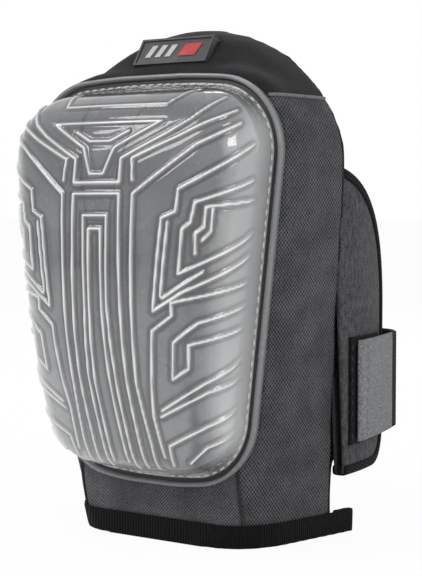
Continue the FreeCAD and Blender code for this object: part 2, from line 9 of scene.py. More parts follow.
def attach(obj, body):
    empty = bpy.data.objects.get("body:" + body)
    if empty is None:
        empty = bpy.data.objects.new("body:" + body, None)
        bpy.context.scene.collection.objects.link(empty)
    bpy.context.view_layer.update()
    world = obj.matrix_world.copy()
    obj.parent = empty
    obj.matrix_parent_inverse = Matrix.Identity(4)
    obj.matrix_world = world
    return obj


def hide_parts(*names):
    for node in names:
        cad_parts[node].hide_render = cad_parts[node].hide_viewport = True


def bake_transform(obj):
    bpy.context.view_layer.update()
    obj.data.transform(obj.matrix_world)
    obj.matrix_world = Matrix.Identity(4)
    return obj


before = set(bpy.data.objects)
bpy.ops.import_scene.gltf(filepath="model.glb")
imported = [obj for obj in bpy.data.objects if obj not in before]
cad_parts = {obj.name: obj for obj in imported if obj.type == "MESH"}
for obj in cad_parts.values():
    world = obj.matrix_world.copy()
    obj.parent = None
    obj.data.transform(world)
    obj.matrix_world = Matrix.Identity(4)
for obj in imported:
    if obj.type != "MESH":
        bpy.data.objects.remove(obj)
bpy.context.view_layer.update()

# Knee pad: clear moulded cap in front (-Y), fabric body round it, wings and a strap behind.
# Shapes are worked out in millimetres, then put into the frame in metres.

mm = 0.001
flangeY = -44.0  # the back of the cap's flange; depths are given behind it


def place(x, behind, z):
    return Vector((x * mm, (flangeY + behind) * mm, z * mm))


def finishMesh(bm, name, materials):
    mesh = bpy.data.meshes.new(name)
    bm.to_mesh(mesh)
    bm.free()
    piece = bpy.data.objects.new(name, mesh)
    bpy.context.scene.collection.objects.link(piece)
    for material in materials:
        mesh.materials.append(material)
    for polygon in mesh.polygons:
        polygon.use_smooth = True
    return piece


def finishPiece(piece, body, slotName, *nodes):
    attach(piece, body)
    if nodes:
        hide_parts(*nodes)
    return piece


# Materials. Every pattern reads Object coordinates, so it stays on its piece.

def newMaterial(name, colour, roughness, sockets=None):
    material = bpy.data.materials.new(name)
    material.use_nodes = True
    tree = material.node_tree
    shader = tree.nodes["Principled BSDF"]
    shader.inputs["Base Color"].default_value = (*colour, 1)
    shader.inputs["Roughness"].default_value = roughness
    for socket, value in (sockets or {}).items():
        shader.inputs[socket].default_value = value
    return material, tree, shader


def mathNode(tree, operation, first, second=None):
    node = tree.nodes.new("ShaderNodeMath")
    node.operation = operation
    for socket, value in zip(node.inputs, (first, second)):
        if isinstance(value, (int, float)):
            socket.default_value = value
        elif value is not None:
            tree.links.new(value, socket)
    return node.outputs[0]


def objectPoint(tree):
    return tree.nodes.new("ShaderNodeTexCoord").outputs["Object"]


def waveAlong(tree, direction, pitch):
    # sine of the place along a direction, one wave for each pitch in millimetres
    dot = tree.nodes.new("ShaderNodeVectorMath")
    dot.operation = "DOT_PRODUCT"
    tree.links.new(objectPoint(tree), dot.inputs[0])
    dot.inputs[1].default_value = Vector(direction) * (2 * math.pi / (pitch * mm))
    return mathNode(tree, "SINE", dot.outputs["Value"])


def noiseAt(tree, grain, detail=3.0, stretch=(1, 1, 1)):
    # noise with grains of about this many millimetres
    mapping = tree.nodes.new("ShaderNodeMapping")
    mapping.inputs["Scale"].default_value = stretch
    tree.links.new(objectPoint(tree), mapping.inputs["Vector"])
    noise = tree.nodes.new("ShaderNodeTexNoise")
    noise.inputs["Scale"].default_value = 1 / (grain * mm)
    noise.inputs["Detail"].default_value = detail
    tree.links.new(mapping.outputs["Vector"], noise.inputs["Vector"])
    return noise.outputs["Fac"]


def rampBetween(tree, factor, low, high, start=0.0, end=1.0):
    ramp = tree.nodes.new("ShaderNodeValToRGB")
    ramp.color_ramp.elements[0].position = start
    ramp.color_ramp.elements[1].position = end
    ramp.color_ramp.elements[0].color = (*low, 1)
    ramp.color_ramp.elements[1].color = (*high, 1)
    tree.links.new(factor, ramp.inputs["Fac"])
    return ramp.outputs["Color"]


def mottled(tree, colour, amount, grain):
    mix = tree.nodes.new("ShaderNodeMix")
    mix.data_type = "RGBA"
    mix.blend_type = "MULTIPLY"
    mix.inputs["Factor"].default_value = 1.0
    low = (1 - amount,) * 3
    high = (1 + 0.3 * amount,) * 3
    tree.links.new(colour, mix.inputs["A"])
    tree.links.new(rampBetween(tree, noiseAt(tree, grain), low, high, 0.35, 0.65), mix.inputs["B"])
    return mix.outputs["Result"]


def bumpBy(tree, shader, height, depth):
    bump = tree.nodes.new("ShaderNodeBump")
    bump.inputs["Distance"].default_value = depth * mm
    bump.inputs["Strength"].default_value = 1.0
    tree.links.new(height, bump.inputs["Height"])
    tree.links.new(bump.outputs["Normal"], shader.inputs["Normal"])


clothKinds = {
    # pitches and depths in millimetres
    "frontWeave": dict(yarn=(0.40, 0.41, 0.42), gap=(0.07, 0.07, 0.073), kind="plain",
                       across=(1, 0, 0), up=(0, 0, 1), pitch=2.6, depth=0.35, mottle=0.6),
    "sideCanvas": dict(yarn=(0.113, 0.115, 0.124), gap=(0.016, 0.016, 0.017), kind="plain",
                       across=(1, 1, 0), up=(0, 0, 1), pitch=2.3, depth=0.5, mottle=0.25),
    "lowCanvas": dict(yarn=(0.142, 0.144, 0.153), gap=(0.020, 0.020, 0.021), kind="plain",
                      across=(1, 0.6, 0), up=(0, 0, 1), pitch=1.8, depth=0.3, mottle=0.25),
    "topTwill": dict(yarn=(0.030, 0.030, 0.034), gap=(0.006, 0.006, 0.006), kind="twill",
                     across=(1, 0.5, 0), up=(0, 0.6, 1), pitch=1.5, depth=0.25, mottle=0.3),
    "kneeKnit": dict(yarn=(0.045, 0.046, 0.049), gap=(0.012, 0.012, 0.013), kind="plain",
                     across=(1, 0.7, 0), up=(0, 0.4, 1), pitch=1.6, depth=0.25, mottle=0.2),
    "elasticWeb": dict(yarn=(0.014, 0.014, 0.015), gap=(0.003, 0.003, 0.003), kind="rib",
                       across=(0, 0, 1), up=(1, 1, 0), pitch=1.8, depth=0.3, mottle=0.2),
    "ribbedTape": dict(yarn=(0.006, 0.006, 0.007), gap=(0.001, 0.001, 0.001), kind="rib",
                       across=(1, 1, 0), up=(0, 0, 1), pitch=1.7, depth=0.5, mottle=0.15),
    "edgeTape": dict(yarn=(0.011, 0.011, 0.012), gap=(0.002, 0.002, 0.002), kind="rib",
                     across=(0.35, 0.35, 1), up=(1, 1, 0), pitch=1.7, depth=0.5, mottle=0.15),
}


def clothMaterial(name):
    spec = clothKinds[name]
    material, tree, shader = newMaterial(name, spec["yarn"], 0.85, {
        "Sheen Weight": 0.02, "Sheen Roughness": 0.5, "Specular IOR Level": 0.12})
    across = waveAlong(tree, spec["across"], spec["pitch"])
    up = waveAlong(tree, spec["up"], spec["pitch"])
    if spec["kind"] == "plain":
        weave = mathNode(tree, "MULTIPLY", across, up)
    elif spec["kind"] == "twill":
        slanted = Vector(spec["across"]) + Vector(spec["up"])
        weave = mathNode(tree, "ADD", waveAlong(tree, slanted, spec["pitch"]),
                         mathNode(tree, "MULTIPLY", up, 0.35))
    else:
        weave = mathNode(tree, "ADD", across, mathNode(tree, "MULTIPLY", up, 0.15))
    height = mathNode(tree, "ADD", mathNode(tree, "MULTIPLY", weave, 0.5),
                      mathNode(tree, "MULTIPLY", noiseAt(tree, 0.9), 0.9))
    colour = rampBetween(tree, height, spec["gap"], spec["yarn"], 0.05, 0.75)
    tree.links.new(mottled(tree, colour, spec["mottle"], 14), shader.inputs["Base Color"])
    bumpBy(tree, shader, height, spec["depth"])
    return material


def melangeMaterial():
    material, tree, shader = newMaterial("wingMelange", (0.1, 0.1, 0.105), 0.9, {
        "Sheen Weight": 0.08, "Sheen Roughness": 0.5, "Specular IOR Level": 0.25})
    fleck = mathNode(tree, "ADD", mathNode(tree, "MULTIPLY", noiseAt(tree, 1.4, 4, (1, 1, 0.35)), 0.6),
                     mathNode(tree, "MULTIPLY", noiseAt(tree, 1.0, 4, (0.4, 0.4, 1.6)), 0.4))
    colour = rampBetween(tree, fleck, (0.012, 0.012, 0.014), (0.078, 0.080, 0.087), 0.38, 0.64)
    tree.links.new(mottled(tree, colour, 0.2, 20), shader.inputs["Base Color"])
    bumpBy(tree, shader, fleck, 0.35)
    return material


def brushedMaterial(name, low, high, grain, depth):
    # loop, hook and thread faces: short fibres with a soft edge light
    material, tree, shader = newMaterial(name, high, 0.95, {
        "Sheen Weight": 0.04, "Sheen Roughness": 0.4, "Specular IOR Level": 0.1})
    fibre = noiseAt(tree, grain, 6)
    tree.links.new(rampBetween(tree, fibre, low, high, 0.35, 0.65), shader.inputs["Base Color"])
    bumpBy(tree, shader, fibre, depth)
    return material


def rubberMaterial(name, colour, roughness):
    material, tree, shader = newMaterial(name, colour, roughness)
    grain = noiseAt(tree, 1.2, 4)
    low = tuple(0.8 * c for c in colour)
    tree.links.new(rampBetween(tree, grain, low, colour, 0.3, 0.7), shader.inputs["Base Color"])
    tree.links.new(rampBetween(tree, noiseAt(tree, 6), (roughness - 0.08,) * 3,
                               (roughness + 0.1,) * 3, 0.3, 0.7), shader.inputs["Roughness"])
    bumpBy(tree, shader, grain, 0.06)
    return material


def surfaceValue(tree, name):
    node = tree.nodes.new("ShaderNodeAttribute")
    node.attribute_name = name
    return node.outputs["Fac"]


def clearMaterial():
    # the mesh carries two shares: painted highlights and reflections on the relief lines and the
    # flanks, and painted shade and dark reflections in the channels, on the top and on the right
    # shoulder
    material, tree, shader = newMaterial("clearPlastic", (0.80, 0.81, 0.82), 0.12, {
        "IOR": 1.5, "Coat Weight": 0.25, "Coat Roughness": 0.05})
    tree.links.new(rampBetween(tree, noiseAt(tree, 9), (0.04,) * 3, (0.12,) * 3, 0.3, 0.7),
                   shader.inputs["Roughness"])
    paintedHighlight = surfaceValue(tree, "line")
    paintedShade = surfaceValue(tree, "paintedShade")
    haze = rampBetween(tree, noiseAt(tree, 30), (0.86, 0.88, 0.90), (0.98, 0.985, 0.99), 0.35, 0.65)
    # painted shade: the base colour darkens to this grey where the mesh marks shade
    shade = tree.nodes.new("ShaderNodeMix")
    shade.data_type = "RGBA"
    shade.inputs["B"].default_value = (0.27, 0.28, 0.30, 1)
    tree.links.new(paintedShade, shade.inputs["Factor"])
    tree.links.new(haze, shade.inputs["A"])
    # painted highlight: the base colour turns near white, and the plastic less clear, where the mesh
    # marks highlights and reflections
    lit = tree.nodes.new("ShaderNodeMix")
    lit.data_type = "RGBA"
    lit.inputs["B"].default_value = (0.97, 0.975, 0.98, 1)
    tree.links.new(paintedHighlight, lit.inputs["Factor"])
    tree.links.new(shade.outputs["Result"], lit.inputs["A"])
    tree.links.new(lit.outputs["Result"], shader.inputs["Base Color"])
    tree.links.new(mathNode(tree, "SUBTRACT", 0.93, mathNode(tree, "MULTIPLY", paintedHighlight, 0.75)),
                   shader.inputs["Transmission Weight"])
    bumpBy(tree, shader, noiseAt(tree, 5), 0.1)
    return material


clearPlastic = clearMaterial()
channelBlack = rubberMaterial("channelBlack", (0.012, 0.012, 0.013), 0.45)
lipGrey = rubberMaterial("lipGrey", (0.20, 0.205, 0.212), 0.2)
frontWeave = clothMaterial("frontWeave")
sideCanvas = clothMaterial("sideCanvas")
lowCanvas = clothMaterial("lowCanvas")
topTwill = clothMaterial("topTwill")
kneeKnit = clothMaterial("kneeKnit")
elasticWeb = clothMaterial("elasticWeb")
ribbedTape = clothMaterial("ribbedTape")
edgeTape = clothMaterial("edgeTape")
wingMelange = melangeMaterial()
tabLoop = brushedMaterial("tabLoop", (0.12, 0.122, 0.128), (0.25, 0.255, 0.268), 1.0, 0.4)
hookTape = brushedMaterial("hookTape", (0.002, 0.002, 0.002), (0.013, 0.013, 0.014), 0.9, 0.6)
paleThread = brushedMaterial("paleThread", (0.50, 0.49, 0.47), (0.78, 0.77, 0.74), 0.6, 0.15)
darkThread = brushedMaterial("darkThread", (0.012, 0.012, 0.013), (0.05, 0.05, 0.052), 0.6, 0.15)
greyThread = brushedMaterial("greyThread", (0.10, 0.10, 0.105), (0.2, 0.2, 0.205), 0.6, 0.15)
badgeRubber = rubberMaterial("badgeRubber", (0.035, 0.036, 0.038), 0.5)
badgeLight = rubberMaterial("badgeLight", (0.46, 0.47, 0.48), 0.5)
badgeRed = rubberMaterial("badgeRed", (0.42, 0.022, 0.024), 0.5)
print("materials made")

# Clear cap: outline of the flange, height of the dome and the lines moulded on it

capShape = {
    "domeHeight": 46.0, "wall": 2.6, "band": 6.5, "flangeWall": 3.0,
    "top": 225.0, "foot": 27.5, "shoulderHalf": 74.5, "lowHalf": 60.5, "corner": 36.0,
    "crownRise": 1.5,
    # share of the dome's length, share of its height
    "crownLine": [(0.0, 0.06), (0.012, 0.36), (0.035, 0.55), (0.065, 0.62), (0.107, 0.68),
                  (0.183, 0.785), (0.26, 0.88), (0.357, 0.95), (0.45, 0.985), (0.55, 1.0),
                  (0.66, 0.995), (0.76, 0.97), (0.83, 0.93), (0.90, 0.845), (0.945, 0.70),
                  (0.975, 0.50), (0.99, 0.28), (1.0, 0.06)],
    # shares of the rise: rounding at the flanks, height where it starts, and the arch above
    "cornerShare": 0.55, "springShare": 0.33, "archShare": 0.67,
    "columns": 240, "rows": 300,
    "ribHeight": 1.0, "ribHalfWidth": 0.15, "ribSlope": 0.7,
    "channelPlace": 2.0, "channelWidth": 0.8, "channelDepth": 0.4,
    "edgeFade": 4, "reliefFrom": 8, "reliefFade": 9,
    "innerRings": (0.99, 0.97, 0.94, 0.90, 0.84, 0.75, 0.62, 0.45, 0.25, 0.08),
}

# lines of the relief on one half, across from the middle and height
capRibs = [
    [(0, 208.5), (30, 208.5), (37, 217)],
    [(0, 200.5), (31.5, 200.5), (9, 189), (4, 177), (0, 177)],
    [(0, 192), (6, 192), (15.5, 196.5)],
    [(0, 173), (13.5, 173), (13.5, 184), (36, 195), (46, 201), (56, 211)],
    [(20.5, 174), (19.5, 184), (42, 193.5), (53, 199), (66, 205)],
    [(70, 199), (52, 190), (21, 168), (20.5, 143), (20, 118), (19.5, 93), (19, 81), (20.5, 52),
     (20, 40)],
    [(0, 168), (13.5, 168), (14, 113), (14, 83), (14, 40)],
    [(0, 158), (7, 158), (6.5, 119), (8, 85), (8, 39)],
    [(0, 152), (3.5, 152), (3.8, 110), (4.5, 80), (4.5, 42)],
    [(80, 190), (52, 174), (44, 170), (43, 160), (36, 157), (31, 115), (46, 124), (82, 140)],
    [(82, 174), (52, 164), (50, 155), (46, 152), (44, 132), (55, 137), (84, 150)],
    [(39, 155), (35, 122), (36, 121), (55, 133)],
    [(84, 165), (57, 162), (56, 153), (52, 150), (52, 141)],
    [(60, 161), (59, 151), (55, 147)],
    [(82, 128), (40, 119), (40, 113), (30, 106), (28, 88), (25, 66), (26, 46)],
    [(82, 108), (47, 100), (46, 89), (38, 84), (40, 101), (52, 110), (82, 118)],
    [(84, 96), (52, 82), (30, 69)],
    [(84, 86), (53, 78), (29, 66)],
    [(78, 72), (50, 62), (30, 52), (29, 42)],
    [(72, 60), (48, 52), (38, 44)],
]


def archOf(halfWidth, rise, corner):
    crown = ((halfWidth - corner) ** 2 + rise ** 2 - corner ** 2) / (2 * (rise - corner))
    return crown, (halfWidth - corner) / (crown - corner)


def halfOutline(inset):
    # right half of the flange's outline, from the middle of the foot to the middle of the top
    corner = capShape["corner"] - inset
    rise = corner + capShape["crownRise"]
    low = (capShape["lowHalf"] - inset - corner, capShape["foot"] + inset + rise)
    high = (capShape["shoulderHalf"] - inset - corner, capShape["top"] - inset - rise)
    lean = -math.atan2(high[0] - low[0], high[1] - low[1])
    lowCrown, lowSine = archOf(low[0] + corner, rise, corner)
    highCrown, highSine = archOf(high[0] + corner, rise, corner)
    outline = []
    for angle in np.linspace(0, math.asin(lowSine), 12):
        outline.append((lowCrown * math.sin(angle),
                        capShape["foot"] + inset + lowCrown * (1 - math.cos(angle))))
    for angle in np.linspace(math.asin(lowSine) - math.pi / 2, lean, 24)[1:]:
        outline.append((low[0] + corner * math.cos(angle), low[1] + corner * math.sin(angle)))
    for angle in np.linspace(lean, math.pi / 2 - math.asin(highSine), 24):
        outline.append((high[0] + corner * math.cos(angle), high[1] + corner * math.sin(angle)))
    for angle in np.linspace(math.asin(highSine), 0, 12)[1:]:
        outline.append((highCrown * math.sin(angle),
                        capShape["top"] - inset - highCrown * (1 - math.cos(angle))))
    return np.array(outline)


def halfWidthAt(z, inset):
    outline = halfOutline(inset)
    return np.interp(z, outline[:, 1], outline[:, 0])


domeFoot = capShape["foot"] + capShape["band"] + 0.3
domeTop = capShape["top"] - capShape["band"] - 0.3


def crownCurve(count):
    # shares along the dome and heights, evenly spaced along the crown line and smoothed
    share, height = np.array(capShape["crownLine"]).T
    z = share * (domeTop - domeFoot)
    steps = np.hypot(np.diff(z), np.diff(height * capShape["domeHeight"]))
    run = np.concatenate([[0], np.cumsum(steps)])
    samples, reach = 600, 18
    even = np.linspace(0, run[-1], samples)
    line = np.column_stack([np.interp(even, run, share), np.interp(even, run, height)])
    head = 2 * line[0] - line[reach:0:-1]
    tail = 2 * line[-1] - line[-2:-reach - 2:-1]
    kernel = np.hanning(2 * reach + 1)
    kernel /= kernel.sum()
    padded = np.vstack([head, line, tail])
    smooth = np.column_stack([np.convolve(padded[:, k], kernel, "valid") for k in (0, 1)])
    pick = np.linspace(0, samples - 1, count + 1)
    return np.column_stack([np.interp(pick, np.arange(samples), smooth[:, k]) for k in (0, 1)])


def sectionPoint(half, rise, along, floor):
    # point of one section at a share along it from the crown: across, height, run from the crown
    corner, spring = capShape["cornerShare"] * rise, capShape["springShare"] * rise
    crown, sine = archOf(half, capShape["archShare"] * rise, corner)
    top = crown * math.asin(sine)
    bend = corner * (math.pi / 2 - math.asin(sine))
    run = along * (top + bend + max(spring - floor, 0))
    if run < top:
        x = crown * math.sin(run / crown)
        height = rise - crown * (1 - math.cos(run / crown))
    elif run < top + bend:
        angle = math.pi / 2 - math.asin(sine) - (run - top) / corner
        x = half - corner + corner * math.cos(angle)
        height = spring + corner * math.sin(angle)
    else:
        x = half
        height = spring - (run - top - bend)
    return x, max(height, floor), run


def domeGrid(wall, columns, rows, floor):
    # grid bent to the dome, drawn in by a wall; also each vertex's run from the crown and height
    bm = bmesh.new()
    bmesh.ops.create_grid(bm, x_segments=columns, y_segments=rows, size=1)
    curve = crownCurve(rows)
    middle = 0.5 * (domeFoot + domeTop)
    shrink = (domeTop - domeFoot - 2 * wall) / (domeTop - domeFoot)
    runs = np.zeros(len(bm.verts))
    for index, vert in enumerate(bm.verts):
        row = round((vert.co.y + 1) / 2 * rows)
        share, height = curve[row]
        fullZ = domeFoot + share * (domeTop - domeFoot)
        half = rowHalf[columns, rows][row] - wall
        rise = max(height * (capShape["domeHeight"] - wall), floor + 0.05)
        x, out, run = sectionPoint(half, rise, abs(vert.co.x), floor)
        runs[index] = run
        side = 1 if vert.co.x > 0 else -1
        vert.co = place(side * x, -out, middle + (fullZ - middle) * shrink)
    bmesh.ops.recalc_face_normals(bm, faces=bm.faces)
    if sum(face.normal.y for face in bm.faces) > 0:
        bmesh.ops.reverse_faces(bm, faces=bm.faces)
    bm.normal_update()
    return bm, runs


wovenShape = {"behindCap": 3.3, "columns": 60, "rows": 90, "cloth": 1.0}
rowHalf = {}
for columns, rows in ((capShape["columns"], capShape["rows"]),
                      (wovenShape["columns"], wovenShape["rows"])):
    share = crownCurve(rows)[:, 0]
    rowHalf[columns, rows] = halfWidthAt(domeFoot + share * (domeTop - domeFoot), capShape["band"])


def distanceToRibs(runs, heights, slopes):
    # distance of every vertex to the nearest line of the relief, along the surface
    nearest = np.full(len(runs), 1e3)
    for rib in capRibs:
        for (x0, z0), (x1, z1) in zip(rib[:-1], rib[1:]):
            dx, dz = x1 - x0, z1 - z0
            t = ((runs - x0) * dx + (heights - z0) * dz) / (dx * dx + dz * dz)
            t = np.clip(t, 0, 1)
            away = np.hypot(runs - x0 - t * dx, (heights - z0 - t * dz) * slopes)
            nearest = np.minimum(nearest, away)
    return nearest


capShade = {
    # painted highlights and reflections on the flanks and the foot, painted shade on the top and
    # painted dark reflections on the right shoulder
    "leftMost": 0.62, "leftAcross": -0.9, "leftUp": -0.5, "leftFrom": 0.2, "leftFade": 0.6,
    "rightMost": 0.34, "rightFrom": 0.68, "rightFade": 0.25,
    "lowMost": 0.2, "lowFrom": 130, "lowFade": 90,
    "topMost": 0.5, "topFrom": 150, "topFade": 30, "topReach": 60, "topReachFade": 20,
    "darkMost": 0.85, "shoulder": 0.47, "shoulderWidth": 0.13,
    "patchWave": 7.0, "patchLean": 3.1, "patchRun": 9.0, "patchFrom": 90, "patchFade": 60,
    "patchLeast": 0.15,
}


def fadeIn(value, start, length):
    # 0 at the start and 1 a length further on; a negative length fades downwards
    return np.clip((value - start) / length, 0, 1)


def shadeCap(normals, heights, runs, onLine, inChannel):
    # shares of painted highlight and of painted shade at every vertex
    shade = capShade
    across, up = normals[:, 0], normals[:, 2]
    # painted highlights and reflections where the flanks face the light, and on the foot
    left = fadeIn(shade["leftAcross"] * across + shade["leftUp"] * up, shade["leftFrom"],
                  shade["leftFade"])
    right = fadeIn(across, shade["rightFrom"], shade["rightFade"])
    low = fadeIn(heights, shade["lowFrom"], -shade["lowFade"])
    # painted shade over the top of the dome
    top = fadeIn(heights, shade["topFrom"], shade["topFade"])
    top *= fadeIn(runs, shade["topReach"], -shade["topReachFade"])
    # painted dark reflections in wavy patches along the right shoulder
    patches = 0.5 + 0.5 * np.sin(heights / shade["patchWave"]) * np.sin(
        heights / shade["patchLean"] + runs / shade["patchRun"])
    patches += (shade["patchFrom"] - heights) / shade["patchFade"]
    shoulder = np.exp(-((across - shade["shoulder"]) / shade["shoulderWidth"]) ** 2)
    shoulder *= np.clip(patches, shade["patchLeast"], 1)
    # painted highlights: the relief lines and the lit flanks and foot; painted shade: the channels,
    # the right shoulder and the top
    paintedHighlight = shade["leftMost"] * left + shade["rightMost"] * right + shade["lowMost"] * low
    paintedShades = np.maximum(shade["darkMost"] * np.maximum(inChannel, shoulder), shade["topMost"] * top)
    return np.maximum(onLine, paintedHighlight), paintedShades * (1 - left)


def raiseRibs(bm, runs):
    heights = np.array([vert.co.z for vert in bm.verts]) / mm
    out = flangeY - np.array([vert.co.y for vert in bm.verts]) / mm
    normals = np.array([vert.normal for vert in bm.verts])
    slopes = 1 / np.clip(np.hypot(normals[:, 0], normals[:, 1]), 0.3, 1)
    away = distanceToRibs(runs, heights, slopes)
    share = fadeIn(away, capShape["ribHalfWidth"] + capShape["ribSlope"], -capShape["ribSlope"])
    share = share * share * (3 - 2 * share)
    # beside each line the surface dips into a channel, which is also painted darker as shade
    beside = np.exp(-((away - capShape["channelPlace"]) / capShape["channelWidth"]) ** 2)
    # the relief fades towards the edge of the dome
    edge = fadeIn(heights, domeFoot, capShape["edgeFade"])
    edge *= fadeIn(heights, domeTop, -capShape["edgeFade"])
    edge *= fadeIn(out, capShape["reliefFrom"], capShape["reliefFade"])
    lift = (capShape["ribHeight"] * share - capShape["channelDepth"] * beside) * edge
    # painted highlight along the relief lines, painted shade in the channels beside them
    paintedHighlights, paintedShades = shadeCap(normals, heights, runs, share * edge, beside * edge)
    line = bm.verts.layers.float.new("line")
    paintedShade = bm.verts.layers.float.new("paintedShade")
    for vert, normal, rise, highlightShare, shadeShare in zip(bm.verts, normals, lift, paintedHighlights, paintedShades):
        vert.co += Vector(normal) * float(rise) * mm
        vert[line] = float(highlightShare)
        vert[paintedShade] = float(shadeShare)


def outlineNormals(points):
    # outward directions across a closed loop of points (x, z)
    ahead = np.roll(points, -1, axis=0) - np.roll(points, 1, axis=0)
    ahead /= np.linalg.norm(ahead, axis=1)[:, None]
    normals = np.column_stack([ahead[:, 1], -ahead[:, 0]])
    middle = points.mean(axis=0)
    if ((points - middle) * normals).sum() < 0:
        normals = -normals
    return normals


def orderedBoundary(bm):
    start = next(vert for vert in bm.verts if vert.is_boundary)
    loop, previous = [start], None
    while True:
        following = [edge.other_vert(loop[-1]) for edge in loop[-1].link_edges if edge.is_boundary]
        step = following[0] if following[0] is not previous else following[1]
        if step is start:
            return loop
        previous = loop[-1]
        loop.append(step)


def extrudeRing(bm, loop, positions, materialIndex=0):
    # a ring of faces from a boundary loop out to new positions
    edges = [edge for edge in bm.edges if edge.is_boundary]
    extruded = bmesh.ops.extrude_edge_only(bm, edges=edges)
    fresh = set(item for item in extruded["geom"] if isinstance(item, bmesh.types.BMVert))
    ring = []
    for vert in loop:
        ring.append(next(edge.other_vert(vert) for edge in vert.link_edges
                         if edge.other_vert(vert) in fresh))
    for vert, position in zip(ring, positions):
        vert.co = position
    if materialIndex:
        for item in extruded["geom"]:
            if isinstance(item, bmesh.types.BMFace):
                item.material_index = materialIndex
    return ring


def domeHeightAt(x, z, wall):
    # height of the smooth dome at a place, drawn in by a wall
    middle = 0.5 * (domeFoot + domeTop)
    fullZ = middle + (z - middle) * (domeTop - domeFoot) / (domeTop - domeFoot - 2 * wall)
    share, height = np.array(capShape["crownLine"]).T
    rise = np.interp((fullZ - domeFoot) / (domeTop - domeFoot), share, height, 0, 0)
    rise *= capShape["domeHeight"] - wall
    half = halfWidthAt(fullZ, capShape["band"]) - wall
    if rise < 0.5 or abs(x) >= half:
        return 0.0
    corner, spring = capShape["cornerShare"] * rise, capShape["springShare"] * rise
    crown, sine = archOf(half, capShape["archShare"] * rise, corner)
    if abs(x) < crown * sine:
        return rise - crown + math.sqrt(crown * crown - x * x)
    return spring + math.sqrt(max(corner ** 2 - (abs(x) - half + corner) ** 2, 0))


flangeProfile = [
    # outwards from the foot of the dome, height in front of the flange's back, material
    (0.5, 2.9, 0), (2.3, 2.9, 0), (2.6, 2.1, 1), (4.3, 2.1, 1), (4.6, 3.6, 2), (5.1, 4.0, 2),
    (6.0, 4.0, 2), (6.5, 3.5, 2), (6.5, 0.0, 2),
]


def buildCap():
    bm, runs = domeGrid(0, capShape["columns"], capShape["rows"], capShape["flangeWall"])
    raiseRibs(bm, runs)
    loop = orderedBoundary(bm)
    foot = np.array([(vert.co.x / mm, vert.co.z / mm) for vert in loop])
    normals = outlineNormals(foot)
    for out, height, materialIndex in flangeProfile:
        ringPlace = [place(x + n[0] * out, -height, z + n[1] * out)
                     for (x, z), n in zip(foot, normals)]
        loop = extrudeRing(bm, loop, ringPlace, materialIndex)
    wall = capShape["wall"]
    loop = extrudeRing(bm, loop, [place(x - n[0] * wall, 0, z - n[1] * wall)
                                  for (x, z), n in zip(foot, normals)])
    centre = np.array([0, 0.5 * (domeFoot + domeTop)])
    inner = foot - normals * wall
    for scale in capShape["innerRings"]:
        points = centre + (inner - centre) * scale
        loop = extrudeRing(bm, loop, [place(x, -domeHeightAt(x, z, wall), z) for x, z in points])
    bmesh.ops.pointmerge(bm, verts=loop,
                         merge_co=place(0, -(capShape["domeHeight"] - wall), centre[1]))
    bmesh.ops.recalc_face_normals(bm, faces=bm.faces)
    cap = finishMesh(bm, "clearCap", [clearPlastic, channelBlack, lipGrey])
    finishPiece(cap, "pad", "clear_plastic", "clear_cap")


buildCap()
print("clear cap made")


def buildWovenFront():
    # the woven panel that shows through the cap
    bm = domeGrid(wovenShape["behindCap"], wovenShape["columns"], wovenShape["rows"], 0.0)[0]
    panel = finishMesh(bm, "wovenFront", [frontWeave])
    thick = panel.modifiers.new("cloth", "SOLIDIFY")
    thick.thickness = wovenShape["cloth"] * mm
    thick.offset = -1
    finishPiece(panel, "pad", "grey_weave", "front_panel", "front_foam", "gel_insert")


buildWovenFront()

stitchShape = {
    "length": 3.4, "width": 0.95, "height": 0.8, "pitch": 5.0,
    "insideBand": 1.4, "onFlange": 3.1, "ends": (0.3, 0.7),
}


def addStitch(bm, at, along, out):
    # one bead of thread lying on a seam
    along = Vector(along).normalized()
    out = Vector(out).normalized()
    across = out.cross(along)
    turn = Matrix((along, across, out)).transposed().to_4x4()
    half = 0.5 * mm
    scale = Matrix.Diagonal((half * stitchShape["length"], half * stitchShape["width"],
                             half * stitchShape["height"], 1))
    bmesh.ops.create_uvsphere(bm, u_segments=8, v_segments=5, radius=1,
                              matrix=Matrix.Translation(at) @ turn @ scale)


def buildFlangeStitches():
    outline = halfOutline(capShape["band"] - stitchShape["insideBand"])
    whole = np.vstack([outline, outline[-2:0:-1] * (-1, 1)])
    closed = np.vstack([whole, whole[:1]])
    run = np.concatenate([[0], np.cumsum(np.linalg.norm(np.diff(closed, axis=0), axis=1))])
    count = int(run[-1] / stitchShape["pitch"])
    bm = bmesh.new()
    for step in range(count):
        ends = [[np.interp(run[-1] * (step + t) / count, run, closed[:, k]) for k in (0, 1)]
                for t in stitchShape["ends"]]
        start, end = [place(x, -stitchShape["onFlange"], z) for x, z in ends]
        addStitch(bm, (start + end) / 2, end - start, (0, -1, 0))
    finishPiece(finishMesh(bm, "flangeStitches", [paleThread]), "pad", "pale_thread", "cap_stitching")


buildFlangeStitches()
print("flange stitches made")

# Padded body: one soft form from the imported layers, puffed between its seams, then parted

bodyShape = {
    "voxel": 3.5, "pressure": 4.0, "mostPuff": 2.6, "sideSeam": 213.0, "frontSeam": 48.0,
    "rearEdgeFoot": 61.0, "rearEdgeLean": 0.0751, "rearTape": 4.5, "cloth": 1.2,
    "hem": 12.0, "pinFade": 9.0, "behindFlange": 1.5, "frontDepth": 6, "smoothing": 3,
    "quality": 5, "clothMass": 0.3, "frames": 20, "fill": 0.8,
}
outerNodes = ["top_panel", "right_side_panel", "left_side_panel", "bottom_panel"]
bodyNodes = outerNodes + ["front_panel", "outer_foam", "front_foam", "gel_insert", "inner_foam",
                          "inner_lining", "rear_binding"]


